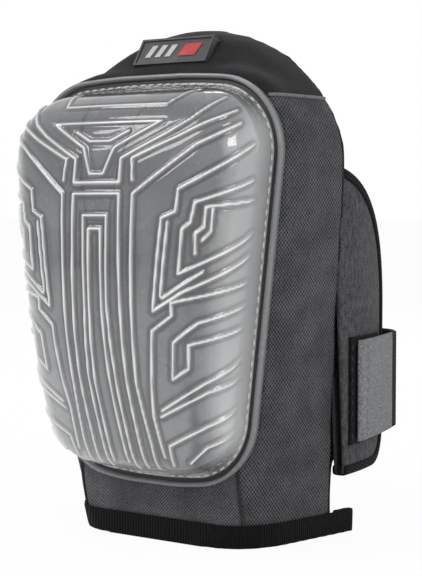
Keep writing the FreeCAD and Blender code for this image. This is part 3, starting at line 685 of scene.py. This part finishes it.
def copiedNodes(names):
    bm = bmesh.new()
    for name in names:
        part = bmesh.new()
        part.from_mesh(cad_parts[name].data)
        bmesh.ops.remove_doubles(part, verts=part.verts, dist=1e-6)
        mesh = bpy.data.meshes.new("part")
        part.to_mesh(mesh)
        part.free()
        bm.from_mesh(mesh)
        bpy.data.meshes.remove(mesh)
    return bm


def applyModifiers(piece):
    graph = bpy.context.evaluated_depsgraph_get()
    mesh = bpy.data.meshes.new_from_object(piece.evaluated_get(graph))
    piece.modifiers.clear()
    piece.data = mesh


def voxelForm(name, nodes, voxel, rounds):
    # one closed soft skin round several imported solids
    form = finishMesh(copiedNodes(nodes), name, [])
    remesh = form.modifiers.new("remesh", "REMESH")
    remesh.mode = "VOXEL"
    remesh.voxel_size = voxel * mm
    remesh.adaptivity = 0
    applyModifiers(form)
    bm = bmesh.new()
    bm.from_mesh(form.data)
    for step in range(rounds):
        bmesh.ops.smooth_vert(bm, verts=bm.verts, factor=0.5, use_axis_x=True, use_axis_y=True,
                              use_axis_z=True)
    bm.to_mesh(form.data)
    bm.free()
    return form


def behindRearEdge(x, y, z):
    # millimetres behind the leaning rear edge, negative in front of it
    return y - flangeY - bodyShape["rearEdgeFoot"] + bodyShape["rearEdgeLean"] * z


def insideFlange(x, z, inset):
    return abs(x) < halfWidthAt(z, inset) if capShape["foot"] < z < capShape["top"] else False


def pinWeight(x, y, z):
    # 1 where the cloth is sewn down, 0 where it is free
    seams = min(abs(z - bodyShape["sideSeam"]), abs(abs(x) - bodyShape["frontSeam"]),
                abs(behindRearEdge(x, y, z)), abs(z - bodyShape["hem"]))
    if z < bodyShape["hem"] or y - flangeY < bodyShape["behindFlange"]:
        return 1.0
    return max(0.0, 1 - seams / bodyShape["pinFade"])


def puffBody(form):
    group = form.vertex_groups.new(name="pins")
    before = np.array([vert.co for vert in form.data.vertices])
    for index, (x, y, z) in enumerate(before / mm):
        group.add([index], pinWeight(x, y, z), "REPLACE")
    cloth = form.modifiers.new("puff", "CLOTH")
    settings = cloth.settings
    settings.quality = bodyShape["quality"]
    settings.mass = bodyShape["clothMass"]
    settings.use_pressure = True
    settings.uniform_pressure_force = bodyShape["pressure"]
    settings.effector_weights.gravity = 0
    settings.vertex_group_mass = "pins"
    for step in range(1, bodyShape["frames"] + 1):
        bpy.context.scene.frame_set(step)
    graph = bpy.context.evaluated_depsgraph_get()
    after = np.array([vert.co for vert in form.evaluated_get(graph).data.vertices])
    form.modifiers.clear()
    bpy.context.scene.frame_set(1)
    move = after - before
    length = np.linalg.norm(move, axis=1)
    most = bodyShape["mostPuff"] * mm
    move *= np.minimum(1, most / np.maximum(length, 1e-9))[:, None]
    for vert, position in zip(form.data.vertices, before + move):
        vert.co = position


def treeOf(names):
    bm = copiedNodes(names)
    tree = BVHTree.FromBMesh(bm)
    bm.free()
    return tree


def partOf(source, keep, name, material):
    # a sheet of cloth from some of the faces of the body
    bm = source.copy()
    bm.faces.ensure_lookup_table()
    bmesh.ops.delete(bm, geom=[face for face in bm.faces if face.index not in keep], context="FACES")
    panel = finishMesh(bm, name, [material])
    cloth = panel.modifiers.new("cloth", "SOLIDIFY")
    cloth.thickness = bodyShape["cloth"] * mm
    cloth.offset = -1
    return panel


bodyPanels = [
    # group of faces, piece, material, slot, nodes that it stands for
    ("top", "topPanel", topTwill, "black_twill", ("top_panel", "outer_foam")),
    ("right", "rightSidePanel", sideCanvas, "grey_canvas", ("right_side_panel",)),
    ("left", "leftSidePanel", sideCanvas, "grey_canvas", ("left_side_panel",)),
    ("bottom", "bottomPanel", lowCanvas, "dark_canvas", ("bottom_panel",)),
    ("lining", "kneeLining", kneeKnit, "knit_lining", ("inner_lining", "inner_foam")),
    ("rear", "rearBinding", edgeTape, "black_binding", ("rear_binding",)),
]


def buildBody():
    form = voxelForm("body", bodyNodes, bodyShape["voxel"], bodyShape["smoothing"])
    puffBody(form)
    smooth = form.modifiers.new("smooth", "SUBSURF")
    smooth.levels = smooth.render_levels = 1
    applyModifiers(form)
    bm = bmesh.new()
    bm.from_mesh(form.data)
    bpy.data.objects.remove(form)
    lean = bodyShape["rearEdgeLean"]
    rearPoint = place(0, bodyShape["rearEdgeFoot"] - bodyShape["rearTape"], 0)
    cuts = [(place(0, 0, bodyShape["sideSeam"]), (0, 0, 1)), (rearPoint, (0, 1, lean)),
            (place(bodyShape["frontSeam"], 0, 0), (1, 0, 0)),
            (place(-bodyShape["frontSeam"], 0, 0), (1, 0, 0))]
    for point, normal in cuts:
        bmesh.ops.bisect_plane(bm, geom=bm.verts[:] + bm.edges[:] + bm.faces[:], dist=1e-6,
                               plane_co=point, plane_no=normal)
    bm.normal_update()
    bm.faces.index_update()
    outer = treeOf(outerNodes + ["front_panel"])
    inner = treeOf(["inner_lining"])
    groups = {key: set() for key, *rest in bodyPanels}
    for face in bm.faces:
        centre = face.calc_center_median()
        x, y, z = centre / mm
        if behindRearEdge(x, y, z) > -bodyShape["rearTape"] and z > 4:
            groups["rear"].add(face.index)
            continue
        nearOuter = outer.find_nearest(centre)[3]
        nearInner = inner.find_nearest(centre)[3]
        if nearInner < nearOuter:
            groups["lining"].add(face.index)
        elif y - flangeY < bodyShape["frontDepth"] and insideFlange(x, z, 2.0):
            continue  # hidden behind the cap
        elif z > bodyShape["sideSeam"]:
            groups["top"].add(face.index)
        elif abs(x) < bodyShape["frontSeam"]:
            groups["bottom"].add(face.index)
        else:
            groups["right" if x > 0 else "left"].add(face.index)
    for key, name, material, slotName, nodes in bodyPanels:
        panel = partOf(bm, groups[key], name, material)
        finishPiece(panel, "pad", slotName, *nodes)
    return bm, groups


body, bodyGroups = buildBody()
print("padded body made")

# Bands swept along a line: piping, bindings, strap and tab


def sweepInto(bm, points, outs, sections):
    # a closed band along points; each section is a loop of (across, out) in millimetres
    count = len(sections[0])
    part = bmesh.new()
    bmesh.ops.create_grid(part, x_segments=len(points) - 1, y_segments=count, size=1)
    points = [Vector(point) for point in points]
    for vert in part.verts:
        i = round((vert.co.x + 1) / 2 * (len(points) - 1))
        j = round((vert.co.y + 1) / 2 * count) % count
        ahead = points[min(i + 1, len(points) - 1)] - points[max(i - 1, 0)]
        out = Vector(outs[i]).normalized()
        across = out.cross(ahead).normalized()
        a, b = sections[i][j]
        vert.co = points[i] + across * a * mm + out * b * mm
    bmesh.ops.remove_doubles(part, verts=part.verts, dist=1e-7)
    bmesh.ops.holes_fill(part, edges=[edge for edge in part.edges if edge.is_boundary])
    bmesh.ops.recalc_face_normals(part, faces=part.faces)
    mesh = bpy.data.meshes.new("part")
    part.to_mesh(mesh)
    part.free()
    bm.from_mesh(mesh)
    bpy.data.meshes.remove(mesh)


def roundSection(width, height, count=10):
    return [(0.5 * width * math.cos(a), 0.5 * height * math.sin(a))
            for a in np.linspace(0, 2 * math.pi, count, endpoint=False)]


def bandSection(width, inside, outside, edge=0.6, rows=10):
    # flat band with rounded edges, subdivided across its width
    half = 0.5 * width
    middle = 0.5 * (inside + outside)
    across = np.linspace(-half + edge, half - edge, rows)
    return ([(a, outside) for a in across[::-1]] + [(-half, middle)]
            + [(a, inside) for a in across] + [(half, middle)])


def seamPoints(test, orderBy):
    # places on a seam of the body, in order, and the way out of the body there
    found = []
    for vert in body.verts:
        x, y, z = vert.co / mm
        outside = [face for face in vert.link_faces
                   if face.index not in bodyGroups["lining"] and face.index not in bodyGroups["rear"]]
        if outside and test(x, y, z):
            found.append((orderBy(x, y, z), vert.co.copy(), vert.normal.copy()))
    found.sort(key=lambda item: item[0])
    kept = found[:1]
    for item in found[1:]:
        if (item[1] - kept[-1][1]).length > pipingShape["least"] * mm:
            kept.append(item)
    return [item[1] for item in kept], [item[2] for item in kept]


pipingShape = {
    # places along a seam count as on it within a tolerance; grooves lie just under the piping
    "tolerance": 0.02, "least": 1.2, "side": (1.7, 1.7), "sideOut": 0.35, "sideDepth": 42,
    "sideFrom": 55, "sideCentre": 20, "groove": (1.1, 0.9), "grooveOut": 0.1, "grooveDrop": 1.5,
    "front": (1.7, 1.5), "frontOut": 0.3, "frontDepth": 30, "frontFoot": 10, "frontTop": 60,
}


def sideSeamPoints(side):
    def onSeam(x, y, z):
        behindCap = y - flangeY < bodyShape["frontDepth"] and insideFlange(x, z, 0.5)
        return (abs(z - bodyShape["sideSeam"]) < pipingShape["tolerance"]
                and y - flangeY < pipingShape["sideDepth"] and not behindCap
                and side * x > pipingShape["sideFrom"])

    return seamPoints(onSeam, lambda x, y, z: math.atan2(y - pipingShape["sideCentre"], side * x))


def frontSeamPoints(side):
    def onSeam(x, y, z):
        return (abs(x - side * bodyShape["frontSeam"]) < pipingShape["tolerance"]
                and pipingShape["frontFoot"] < z < pipingShape["frontTop"]
                and y - flangeY < pipingShape["frontDepth"] and not insideFlange(x, z, 1.0))

    return seamPoints(onSeam, lambda x, y, z: z)


def sweepPiping(bm, seam, lift, drop, size):
    points, outs = seam
    raised = [point + out * lift * mm - Vector((0, 0, drop * mm)) for point, out in zip(points, outs)]
    sweepInto(bm, raised, outs, [roundSection(*size)] * len(points))


def buildPiping():
    shape = pipingShape
    piping, groove, front = bmesh.new(), bmesh.new(), bmesh.new()
    for side in (1, -1):
        seam = sideSeamPoints(side)
        sweepPiping(piping, seam, shape["sideOut"], 0, shape["side"])
        sweepPiping(groove, seam, shape["grooveOut"], shape["grooveDrop"], shape["groove"])
        sweepPiping(front, frontSeamPoints(side), shape["frontOut"], 0, shape["front"])
    finishPiece(finishMesh(piping, "sideSeamPiping", [greyThread]), "pad", "grey_canvas",
                "side_seam_piping")
    finishPiece(finishMesh(groove, "sideSeamGroove", [darkThread]), "pad", "black_thread")
    finishPiece(finishMesh(front, "frontSeamPiping", [darkThread]), "pad", "black_thread",
                "front_seam_piping")


buildPiping()

hemShape = {"voxel": 1.3, "smoothing": 3, "fill": 0.9}


def buildHem():
    hem = voxelForm("hemBinding", ["hem_binding"], hemShape["voxel"], hemShape["smoothing"])
    hem.data.materials.clear()
    hem.data.materials.append(ribbedTape)
    for polygon in hem.data.polygons:
        polygon.use_smooth = True
    finishPiece(hem, "pad", "black_binding", "hem_binding")


buildHem()
print("piping and hem made")

# Badge: rubber plate with a raised rim and plain slanted bars


badgeFinishes = {
    # material, slot, rounding of the edges
    "badge_plate": (badgeRubber, "badge_rubber", 0.5),
    "badge_rim": (badgeRubber, "badge_rubber", 0.25),
    "badge_bars": (badgeLight, "badge_light", 0.18),
    "badge_accent": (badgeRed, "badge_red", 0.18),
}


def buildBadge():
    for node, (material, slotName, rounding) in badgeFinishes.items():
        bm = copiedNodes([node])
        bmesh.ops.dissolve_limit(bm, angle_limit=0.02, verts=bm.verts, edges=bm.edges)
        piece = finishMesh(bm, node.replace("_", "") + "Shape", [material])
        bevel = piece.modifiers.new("edges", "BEVEL")
        bevel.width = rounding * mm
        bevel.segments = 3
        bevel.harden_normals = True
        finishPiece(piece, "pad", slotName, node)


buildBadge()

# Wings: bent round the leg, cut to a rounded side profile

wingShape = {
    "radius": 165.0, "rootHalf": 71.0, "toeIn": 3.0, "rootDepth": 57.0, "halfSandwich": 3.0,
    "top": 180.0, "foot": 31.0, "reach": 107.0, "roundHigh": 70.0, "roundLow": 20.0,
    "binding": 5.2, "bindingWall": 0.8, "rootGap": -5.0, "rows": 60, "columns": 24, "cloth": 1.2,
    "foldLength": 8.0, "foldHeight": 100.0, "foldHalf": 70, "fill": 0.7,
    "edgeInset": 1.0, "edgePull": 0.7, "pullFade": 5,
    # the rounded rear top: depth back from the reach, and a middle point of its circle
    "roundDepth": 0.75, "middleOut": 0.74, "middleDown": 0.38,
}
toeIn = math.radians(wingShape["toeIn"])
wingCentreX = wingShape["rootHalf"] - wingShape["radius"] * math.cos(toeIn)
wingCentreDepth = wingShape["rootDepth"] - wingShape["radius"] * math.sin(toeIn)


def angleAt(behind):
    return math.asin((behind - wingCentreDepth) / wingShape["radius"])


def onWing(radius, angle, z, run=0.0, side=1):
    x = wingCentreX + radius * math.cos(angle) - run * math.sin(angle)
    return place(side * x, wingCentreDepth + radius * math.sin(angle) + run * math.cos(angle), z)


def wingOut(angle, side=1):
    return Vector((side * math.cos(angle), math.sin(angle), 0))


def circleThrough(a, b, c):
    # centre and radius of the circle through three points
    d = 2 * (a[0] * (b[1] - c[1]) + b[0] * (c[1] - a[1]) + c[0] * (a[1] - b[1]))
    squares = [p[0] ** 2 + p[1] ** 2 for p in (a, b, c)]
    x = (squares[0] * (b[1] - c[1]) + squares[1] * (c[1] - a[1]) + squares[2] * (a[1] - b[1])) / d
    y = (squares[0] * (c[0] - b[0]) + squares[1] * (a[0] - c[0]) + squares[2] * (b[0] - a[0])) / d
    return (x, y), math.hypot(a[0] - x, a[1] - y)


highRound = wingShape["roundHigh"]
shoulderDepth = wingShape["reach"] - wingShape["roundDepth"] * highRound
highCentre, highRadius = circleThrough(
    (wingShape["reach"], wingShape["top"] - highRound),
    (shoulderDepth + wingShape["roundDepth"] * wingShape["middleOut"] * highRound,
     wingShape["top"] - wingShape["middleDown"] * highRound),
    (shoulderDepth, wingShape["top"]))


def wingRoot(z):
    return bodyShape["rearEdgeFoot"] - bodyShape["rearEdgeLean"] * z + wingShape["rootGap"]


def wingEdge(z):
    # depth of the wing's edge at a height
    low = wingShape["foot"] + wingShape["roundLow"]
    high = wingShape["top"] - highRound
    if z < low:
        rise = low - z
        return wingShape["reach"] - wingShape["roundLow"] + math.sqrt(
            max(wingShape["roundLow"] ** 2 - rise * rise, 0))
    if z <= high:
        return wingShape["reach"]
    return highCentre[0] + math.sqrt(max(highRadius ** 2 - (z - highCentre[1]) ** 2, 0))


wingHighest = max(z for z in np.arange(150, 180, 0.25) if wingEdge(z) > wingRoot(z) + 1.0)


def wingSheet(name, radius, inward, side, material):
    bm = bmesh.new()
    columns, rows = wingShape["columns"], wingShape["rows"]
    bmesh.ops.create_grid(bm, x_segments=columns, y_segments=rows, size=1)
    edgeInset = wingShape["edgeInset"]
    for vert in bm.verts:
        share = 0.5 * (vert.co.x + 1)
        height = 0.5 * (vert.co.y + 1)
        height = math.sin(0.5 * math.pi * height) if height > 0 else 0
        z = wingShape["foot"] + edgeInset + height * (wingHighest - wingShape["foot"] - 2 * edgeInset)
        root, edge = wingRoot(z), wingEdge(z) - edgeInset
        behind = root + share * max(edge - root, 0.5)
        margin = min(edge - behind, z - wingShape["foot"], wingHighest - z)
        pull = wingShape["edgePull"] * math.exp(-max(margin, 0) / wingShape["pullFade"])
        vert.co = onWing(radius + inward * pull, angleAt(behind), z, 0, side)
    bmesh.ops.recalc_face_normals(bm, faces=bm.faces)
    wanted = -inward * side
    if sum(face.normal.x for face in bm.faces) * wanted < 0:
        bmesh.ops.reverse_faces(bm, faces=bm.faces)
    sheet = finishMesh(bm, name, [material])
    thick = sheet.modifiers.new("cloth", "SOLIDIFY")
    thick.thickness = wingShape["cloth"] * mm
    thick.offset = -1
    applyModifiers(sheet)
    for polygon in sheet.data.polygons:
        polygon.use_smooth = True
    return sheet


def wingOutline():
    # (depth, height) along the free edge, from the foot of the root round to its top
    lowCentre = (wingShape["reach"] - wingShape["roundLow"], wingShape["foot"] + wingShape["roundLow"])
    points = [(behind, wingShape["foot"]) for behind in
              np.linspace(wingRoot(wingShape["foot"]), lowCentre[0], 14)]
    for angle in np.linspace(-math.pi / 2, 0, 14)[1:]:
        points.append((lowCentre[0] + wingShape["roundLow"] * math.cos(angle),
                       lowCentre[1] + wingShape["roundLow"] * math.sin(angle)))
    for z in np.linspace(lowCentre[1], wingShape["top"] - highRound, 26)[1:]:
        points.append((wingShape["reach"], z))
    first = math.atan2(wingShape["top"] - highRound - highCentre[1],
                       wingShape["reach"] - highCentre[0])
    last = math.atan2(wingHighest + 1 - highCentre[1], wingEdge(wingHighest + 1) - highCentre[0])
    for angle in np.linspace(first, last, 40)[1:]:
        points.append((highCentre[0] + highRadius * math.cos(angle),
                       highCentre[1] + highRadius * math.sin(angle)))
    return points


def buildWingBinding(name, side):
    outline = np.array(wingOutline())
    ahead = np.gradient(outline, axis=0)
    ahead /= np.linalg.norm(ahead, axis=1)[:, None]
    inward = np.column_stack([-ahead[:, 1], ahead[:, 0]])
    half = 0.5 * wingShape["binding"]
    thickness = wingShape["halfSandwich"] + wingShape["bindingWall"]
    points, outs, sections = [], [], []
    corner = [(math.cos(a), math.sin(a)) for a in np.linspace(0, 2 * math.pi, 20, endpoint=False)]
    section = [(math.copysign(abs(c) ** 0.5, c) * half, math.copysign(abs(s) ** 0.5, s) * thickness)
               for c, s in corner]
    for (behind, z), turn in zip(outline, inward):
        depth, height = behind + turn[0] * half, z + turn[1] * half
        angle = angleAt(depth)
        points.append(onWing(wingShape["radius"], angle, height, 0, side))
        outs.append(wingOut(angle, side))
        sections.append(section)
    bm = bmesh.new()
    sweepInto(bm, points, outs, sections)
    return finishMesh(bm, name, [edgeTape])


def foldBetween(piece):
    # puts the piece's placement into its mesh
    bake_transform(piece)


def buildWing(word, side):
    bodyName = word + "_wing"
    outside = wingShape["radius"] + wingShape["halfSandwich"]
    inside = wingShape["radius"] - wingShape["halfSandwich"]
    cover = wingSheet(word + "WingCover", outside, -1, side, wingMelange)
    lining = wingSheet(word + "WingLining", inside, 1, side, kneeKnit)
    binding = buildWingBinding(word + "WingBinding", side)
    for piece, slotName, nodes in (
            (cover, "grey_melange", (bodyName + "_cover", bodyName + "_core")),
            (lining, "knit_lining", (bodyName + "_lining",)),
            (binding, "black_binding", (bodyName + "_binding",))):
        foldBetween(piece)
        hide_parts(*nodes)


for word, side in (("right", 1), ("left", -1)):
    buildWing(word, side)
print("wings made")

# Strap: hook field on the right wing, elastic round behind, grey pull tab, sewn end on the left

strapShape = {
    "foot": 47.0, "width": 50.0, "wall": 2.0, "turn": 20.0, "reach": 134.0, "leaves": 90.0,
    "patchWall": 1.2, "patchStart": 57.0, "patchLength": 37.0, "tabGap": 0.4, "tabFace": 0.8,
    "tabWall": 1.6, "tabFront": 62.0, "tabStraight": 22.0, "hemLength": 8.0, "sewnFront": 72.0,
    "foldLength": 10.0, "doubledWall": 1.3, "thinEdge": 0.15, "sewnTo": 10, "backCount": 50,
    "patchOverhang": 3, "stitchRow": 48, "sewnRows": (3, 11),
}
patchIn = wingShape["radius"] + wingShape["halfSandwich"]
patchOut = patchIn + strapShape["patchWall"]
tabIn = patchOut + strapShape["tabGap"]
tabFaceOut = tabIn + strapShape["tabFace"]
tabOut = tabFaceOut + strapShape["tabWall"]
strapMiddle = 0.5 * (tabIn + tabOut)
strapCentreZ = strapShape["foot"] + 0.5 * strapShape["width"]
leaveAngle = angleAt(strapShape["leaves"])


def bendLine(radius, firstAngle, lastAngle, run, side=1, step=1.6):
    # points and outward directions along the wing's bend, then straight on
    points, outs = [], []
    arcCount = max(int(radius * (lastAngle - firstAngle) / step), 2)
    for angle in np.linspace(firstAngle, lastAngle, arcCount):
        points.append(onWing(radius, angle, strapCentreZ, 0, side))
        outs.append(wingOut(angle, side))
    for distance in np.arange(step, run + 0.01, step) if run else []:
        points.append(onWing(radius, lastAngle, strapCentreZ, distance, side))
        outs.append(wingOut(lastAngle, side))
    return points, outs


def buildPatch():
    points, outs = bendLine(patchIn, angleAt(strapShape["patchStart"]),
                            angleAt(strapShape["patchStart"] + strapShape["patchLength"]), 0)
    section = bandSection(strapShape["width"] + strapShape["patchOverhang"], 0.05,
                          strapShape["patchWall"], 0.4, 16)
    bm = bmesh.new()
    sweepInto(bm, points, outs, [section] * len(points))
    finishPiece(finishMesh(bm, "hookPatch", [hookTape]), "right_wing", "hook_tape", "hook_patch")


def stitchColumn(bm, radius, behind, foot, height, side=1):
    angle = angleAt(behind)
    count = int(height / stitchShape["pitch"])
    for step in range(count):
        z = foot + (step + 0.5) * height / count
        addStitch(bm, onWing(radius, angle, z, 0, side), (0, 0, 1), wingOut(angle, side))


buildPatch()
threads = bmesh.new()
stitchColumn(threads, patchOut, strapShape["patchStart"] + 2, strapShape["foot"], 49)
finishPiece(finishMesh(threads, "patchStitches", [darkThread]), "right_wing", "black_thread",
            "hook_patch_stitching")


def buildTab():
    first = angleAt(strapShape["tabFront"])
    run = strapShape["tabStraight"]
    points, outs = bendLine(tabFaceOut, first, leaveAngle, run, 1, 0.8)
    # the front end is doubled over a sewn hem and runs out to a thin edge
    sections = []
    travelled = 0.0
    for index, point in enumerate(points):
        if index:
            travelled += (point - points[index - 1]).length / mm
        past = travelled - strapShape["hemLength"]
        doubled = 1 / (1 + math.exp(np.clip(past / 0.5, -30, 30)))
        lead = math.sqrt(max(1 - (1 - min(travelled / 1.2, 1)) ** 2, 0.04))
        wall = strapShape["tabWall"] + strapShape["doubledWall"] * doubled - strapShape["thinEdge"]
        outside = strapShape["thinEdge"] + wall * lead
        sections.append(bandSection(strapShape["width"], 0.05, outside, 0.7, 18))
    bm = bmesh.new()
    sweepInto(bm, points, outs, sections)
    tab = finishMesh(bm, "strapTab", [tabLoop])
    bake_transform(tab)
    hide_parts("strap_tab")
    points, outs = bendLine(tabIn, angleAt(strapShape["tabFront"] + 1), leaveAngle, run - 1)
    section = bandSection(strapShape["width"] - 2, 0.0, strapShape["tabFace"], 0.3, 12)
    bm = bmesh.new()
    sweepInto(bm, points, outs, [section] * len(points))
    face = finishMesh(bm, "tabHookFace", [hookTape])
    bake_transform(face)
    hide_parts("tab_hook_face")
    bm = bmesh.new()
    stitchColumn(bm, tabOut + 1.25, strapShape["tabFront"] + 5.5, strapShape["foot"] + 1,
                 strapShape["stitchRow"])
    finishPiece(finishMesh(bm, "tabStitches", [greyThread]), "tab", "black_thread", "tab_stitching")


buildTab()


def buildElastic():
    # the strap from its left end, round behind the leg, to the tab
    turn = strapShape["turn"]
    turnDepth = strapShape["reach"] - 0.5 * strapShape["wall"] - turn
    startDepth = wingCentreDepth + (strapMiddle - turn) * math.sin(leaveAngle)
    runToTurn = (turnDepth - startDepth) / math.cos(leaveAngle)
    points, outs = [], []
    for run in np.arange(strapShape["tabStraight"] + 0.3, runToTurn, 1.5):
        points.append(onWing(strapMiddle, leaveAngle, strapCentreZ, run))
        outs.append(wingOut(leaveAngle))
    centre = onWing(strapMiddle - turn, leaveAngle, strapCentreZ, runToTurn)
    for angle in np.linspace(leaveAngle, math.pi / 2, 24):
        out = Vector((math.cos(angle), math.sin(angle), 0))
        points.append(centre + out * turn * mm)
        outs.append(out)
    halfBack = points[-1].x
    count = len(points)
    for x in np.linspace(halfBack, -halfBack, strapShape["backCount"])[1:-1]:
        points.append(Vector((x, centre.y + turn * mm, strapCentreZ * mm)))
        outs.append(Vector((0, 1, 0)))
    for index in range(count - 1, -1, -1):
        points.append(Vector((-points[index].x, points[index].y, points[index].z)))
        outs.append(Vector((-outs[index].x, outs[index].y, 0)))
    half = 0.5 * strapShape["wall"]
    section = bandSection(strapShape["width"], -half, half, 0.6, 18)
    bm = bmesh.new()
    sweepInto(bm, points, outs, [section] * len(points))
    elastic = finishMesh(bm, "strapElastic", [elasticWeb])
    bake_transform(elastic)
    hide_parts("strap_elastic")


buildElastic()


def buildSewnEnd():
    half = 0.5 * strapShape["wall"]
    first = angleAt(strapShape["sewnFront"])
    bm = bmesh.new()
    points, outs = bendLine(strapMiddle, first, leaveAngle, strapShape["tabStraight"], -1)
    sweepInto(bm, points, outs, [bandSection(strapShape["width"], -half, half, 0.6, 14)] * len(points))
    foldEnd = angleAt(wingShape["reach"] - strapShape["sewnTo"])
    points, outs = bendLine(patchIn, first, foldEnd, 0, -1)
    under = strapMiddle - half - patchIn
    section = bandSection(strapShape["width"], 0.05, under, 0.5, 14)
    sweepInto(bm, points, outs, [section] * len(points))
    finishPiece(finishMesh(bm, "strapSewnEnd", [elasticWeb]), "left_wing", "black_elastic",
                "strap_sewn_end")
    bm = bmesh.new()
    for behind in strapShape["sewnRows"]:
        stitchColumn(bm, strapMiddle + half, strapShape["sewnFront"] + behind, strapShape["foot"] + 1,
                     strapShape["stitchRow"], -1)
    finishPiece(finishMesh(bm, "strapEndStitches", [greyThread]), "left_wing", "black_thread",
                "strap_end_stitching")


buildSewnEnd()
body.free()
print("strap made")

# Floor, light and camera

stageColours = {"floor": 0.86, "mottle": 0.01, "ambient": 0.62, "glow": 0.94}
lampPlaces = [
    # name, place, aim, size, power
    ("keyLamp", (-0.7, -1.1, 1.15), (0, 0, 0.12), 0.8, 13.0),
    ("sideLamp", (1.3, -0.35, 0.75), (0, 0, 0.12), 0.5, 7.0),
    ("backLamp", (-0.5, 1.1, 0.9), (0, 0, 0.15), 0.7, 5.0),
]
cameraPlace = {
    "location": (0.4662, -0.6426, 0.1641), "pitch": 86.87, "azimuth": 35.9, "lens": 134.1,
}


def buildStage():
    bm = bmesh.new()
    bmesh.ops.create_grid(bm, x_segments=1, y_segments=1, size=12)
    material, tree, shader = newMaterial("paleFloor", (stageColours["floor"],) * 3, 0.9)
    low, high = [(stageColours["floor"] + sign * stageColours["mottle"],) * 3 for sign in (-1, 1)]
    tree.links.new(rampBetween(tree, noiseAt(tree, 60), low, high), shader.inputs["Base Color"])
    glow = tree.nodes.new("ShaderNodeEmission")
    mix = tree.nodes.new("ShaderNodeMixShader")
    path = tree.nodes.new("ShaderNodeLightPath")
    tree.links.new(mathNode(tree, "MULTIPLY", path.outputs["Is Camera Ray"], stageColours["glow"]),
                   mix.inputs["Fac"])
    tree.links.new(shader.outputs["BSDF"], mix.inputs[1])
    tree.links.new(glow.outputs["Emission"], mix.inputs[2])
    tree.links.new(mix.outputs["Shader"], tree.nodes["Material Output"].inputs["Surface"])
    finishMesh(bm, "floor", [material])
    world = bpy.data.worlds.new("studio")
    bpy.context.scene.world = world
    world.use_nodes = True
    tree = world.node_tree
    background = tree.nodes["Background"]
    background.inputs["Color"].default_value = (1, 1, 1, 1)
    path = tree.nodes.new("ShaderNodeLightPath")
    seen = mathNode(tree, "MAXIMUM", path.outputs["Is Camera Ray"],
                    mathNode(tree, "MAXIMUM", path.outputs["Is Glossy Ray"],
                             path.outputs["Is Transmission Ray"]))
    strength = mathNode(tree, "ADD", stageColours["ambient"],
                        mathNode(tree, "MULTIPLY", seen, 1 - stageColours["ambient"]))
    tree.links.new(strength, background.inputs["Strength"])
    for name, location, aim, size, power in lampPlaces:
        light = bpy.data.lights.new(name, "AREA")
        light.energy = power
        light.size = size
        lamp = bpy.data.objects.new(name, light)
        lamp.location = location
        lamp.rotation_euler = (Vector(aim) - Vector(location)).to_track_quat("-Z", "Y").to_euler()
        bpy.context.scene.collection.objects.link(lamp)


def placeCamera():
    data = bpy.data.cameras.new("camera")
    data.sensor_fit = "HORIZONTAL"
    data.sensor_width = 36
    data.lens = cameraPlace["lens"]
    camera = bpy.data.objects.new("camera", data)
    camera.location = cameraPlace["location"]
    camera.rotation_euler = (math.radians(cameraPlace["pitch"]), 0,
                             math.radians(cameraPlace["azimuth"]))
    bpy.context.scene.collection.objects.link(camera)
    bpy.context.scene.camera = camera


buildStage()
placeCamera()
bpy.context.scene.view_settings.view_transform = "Standard"
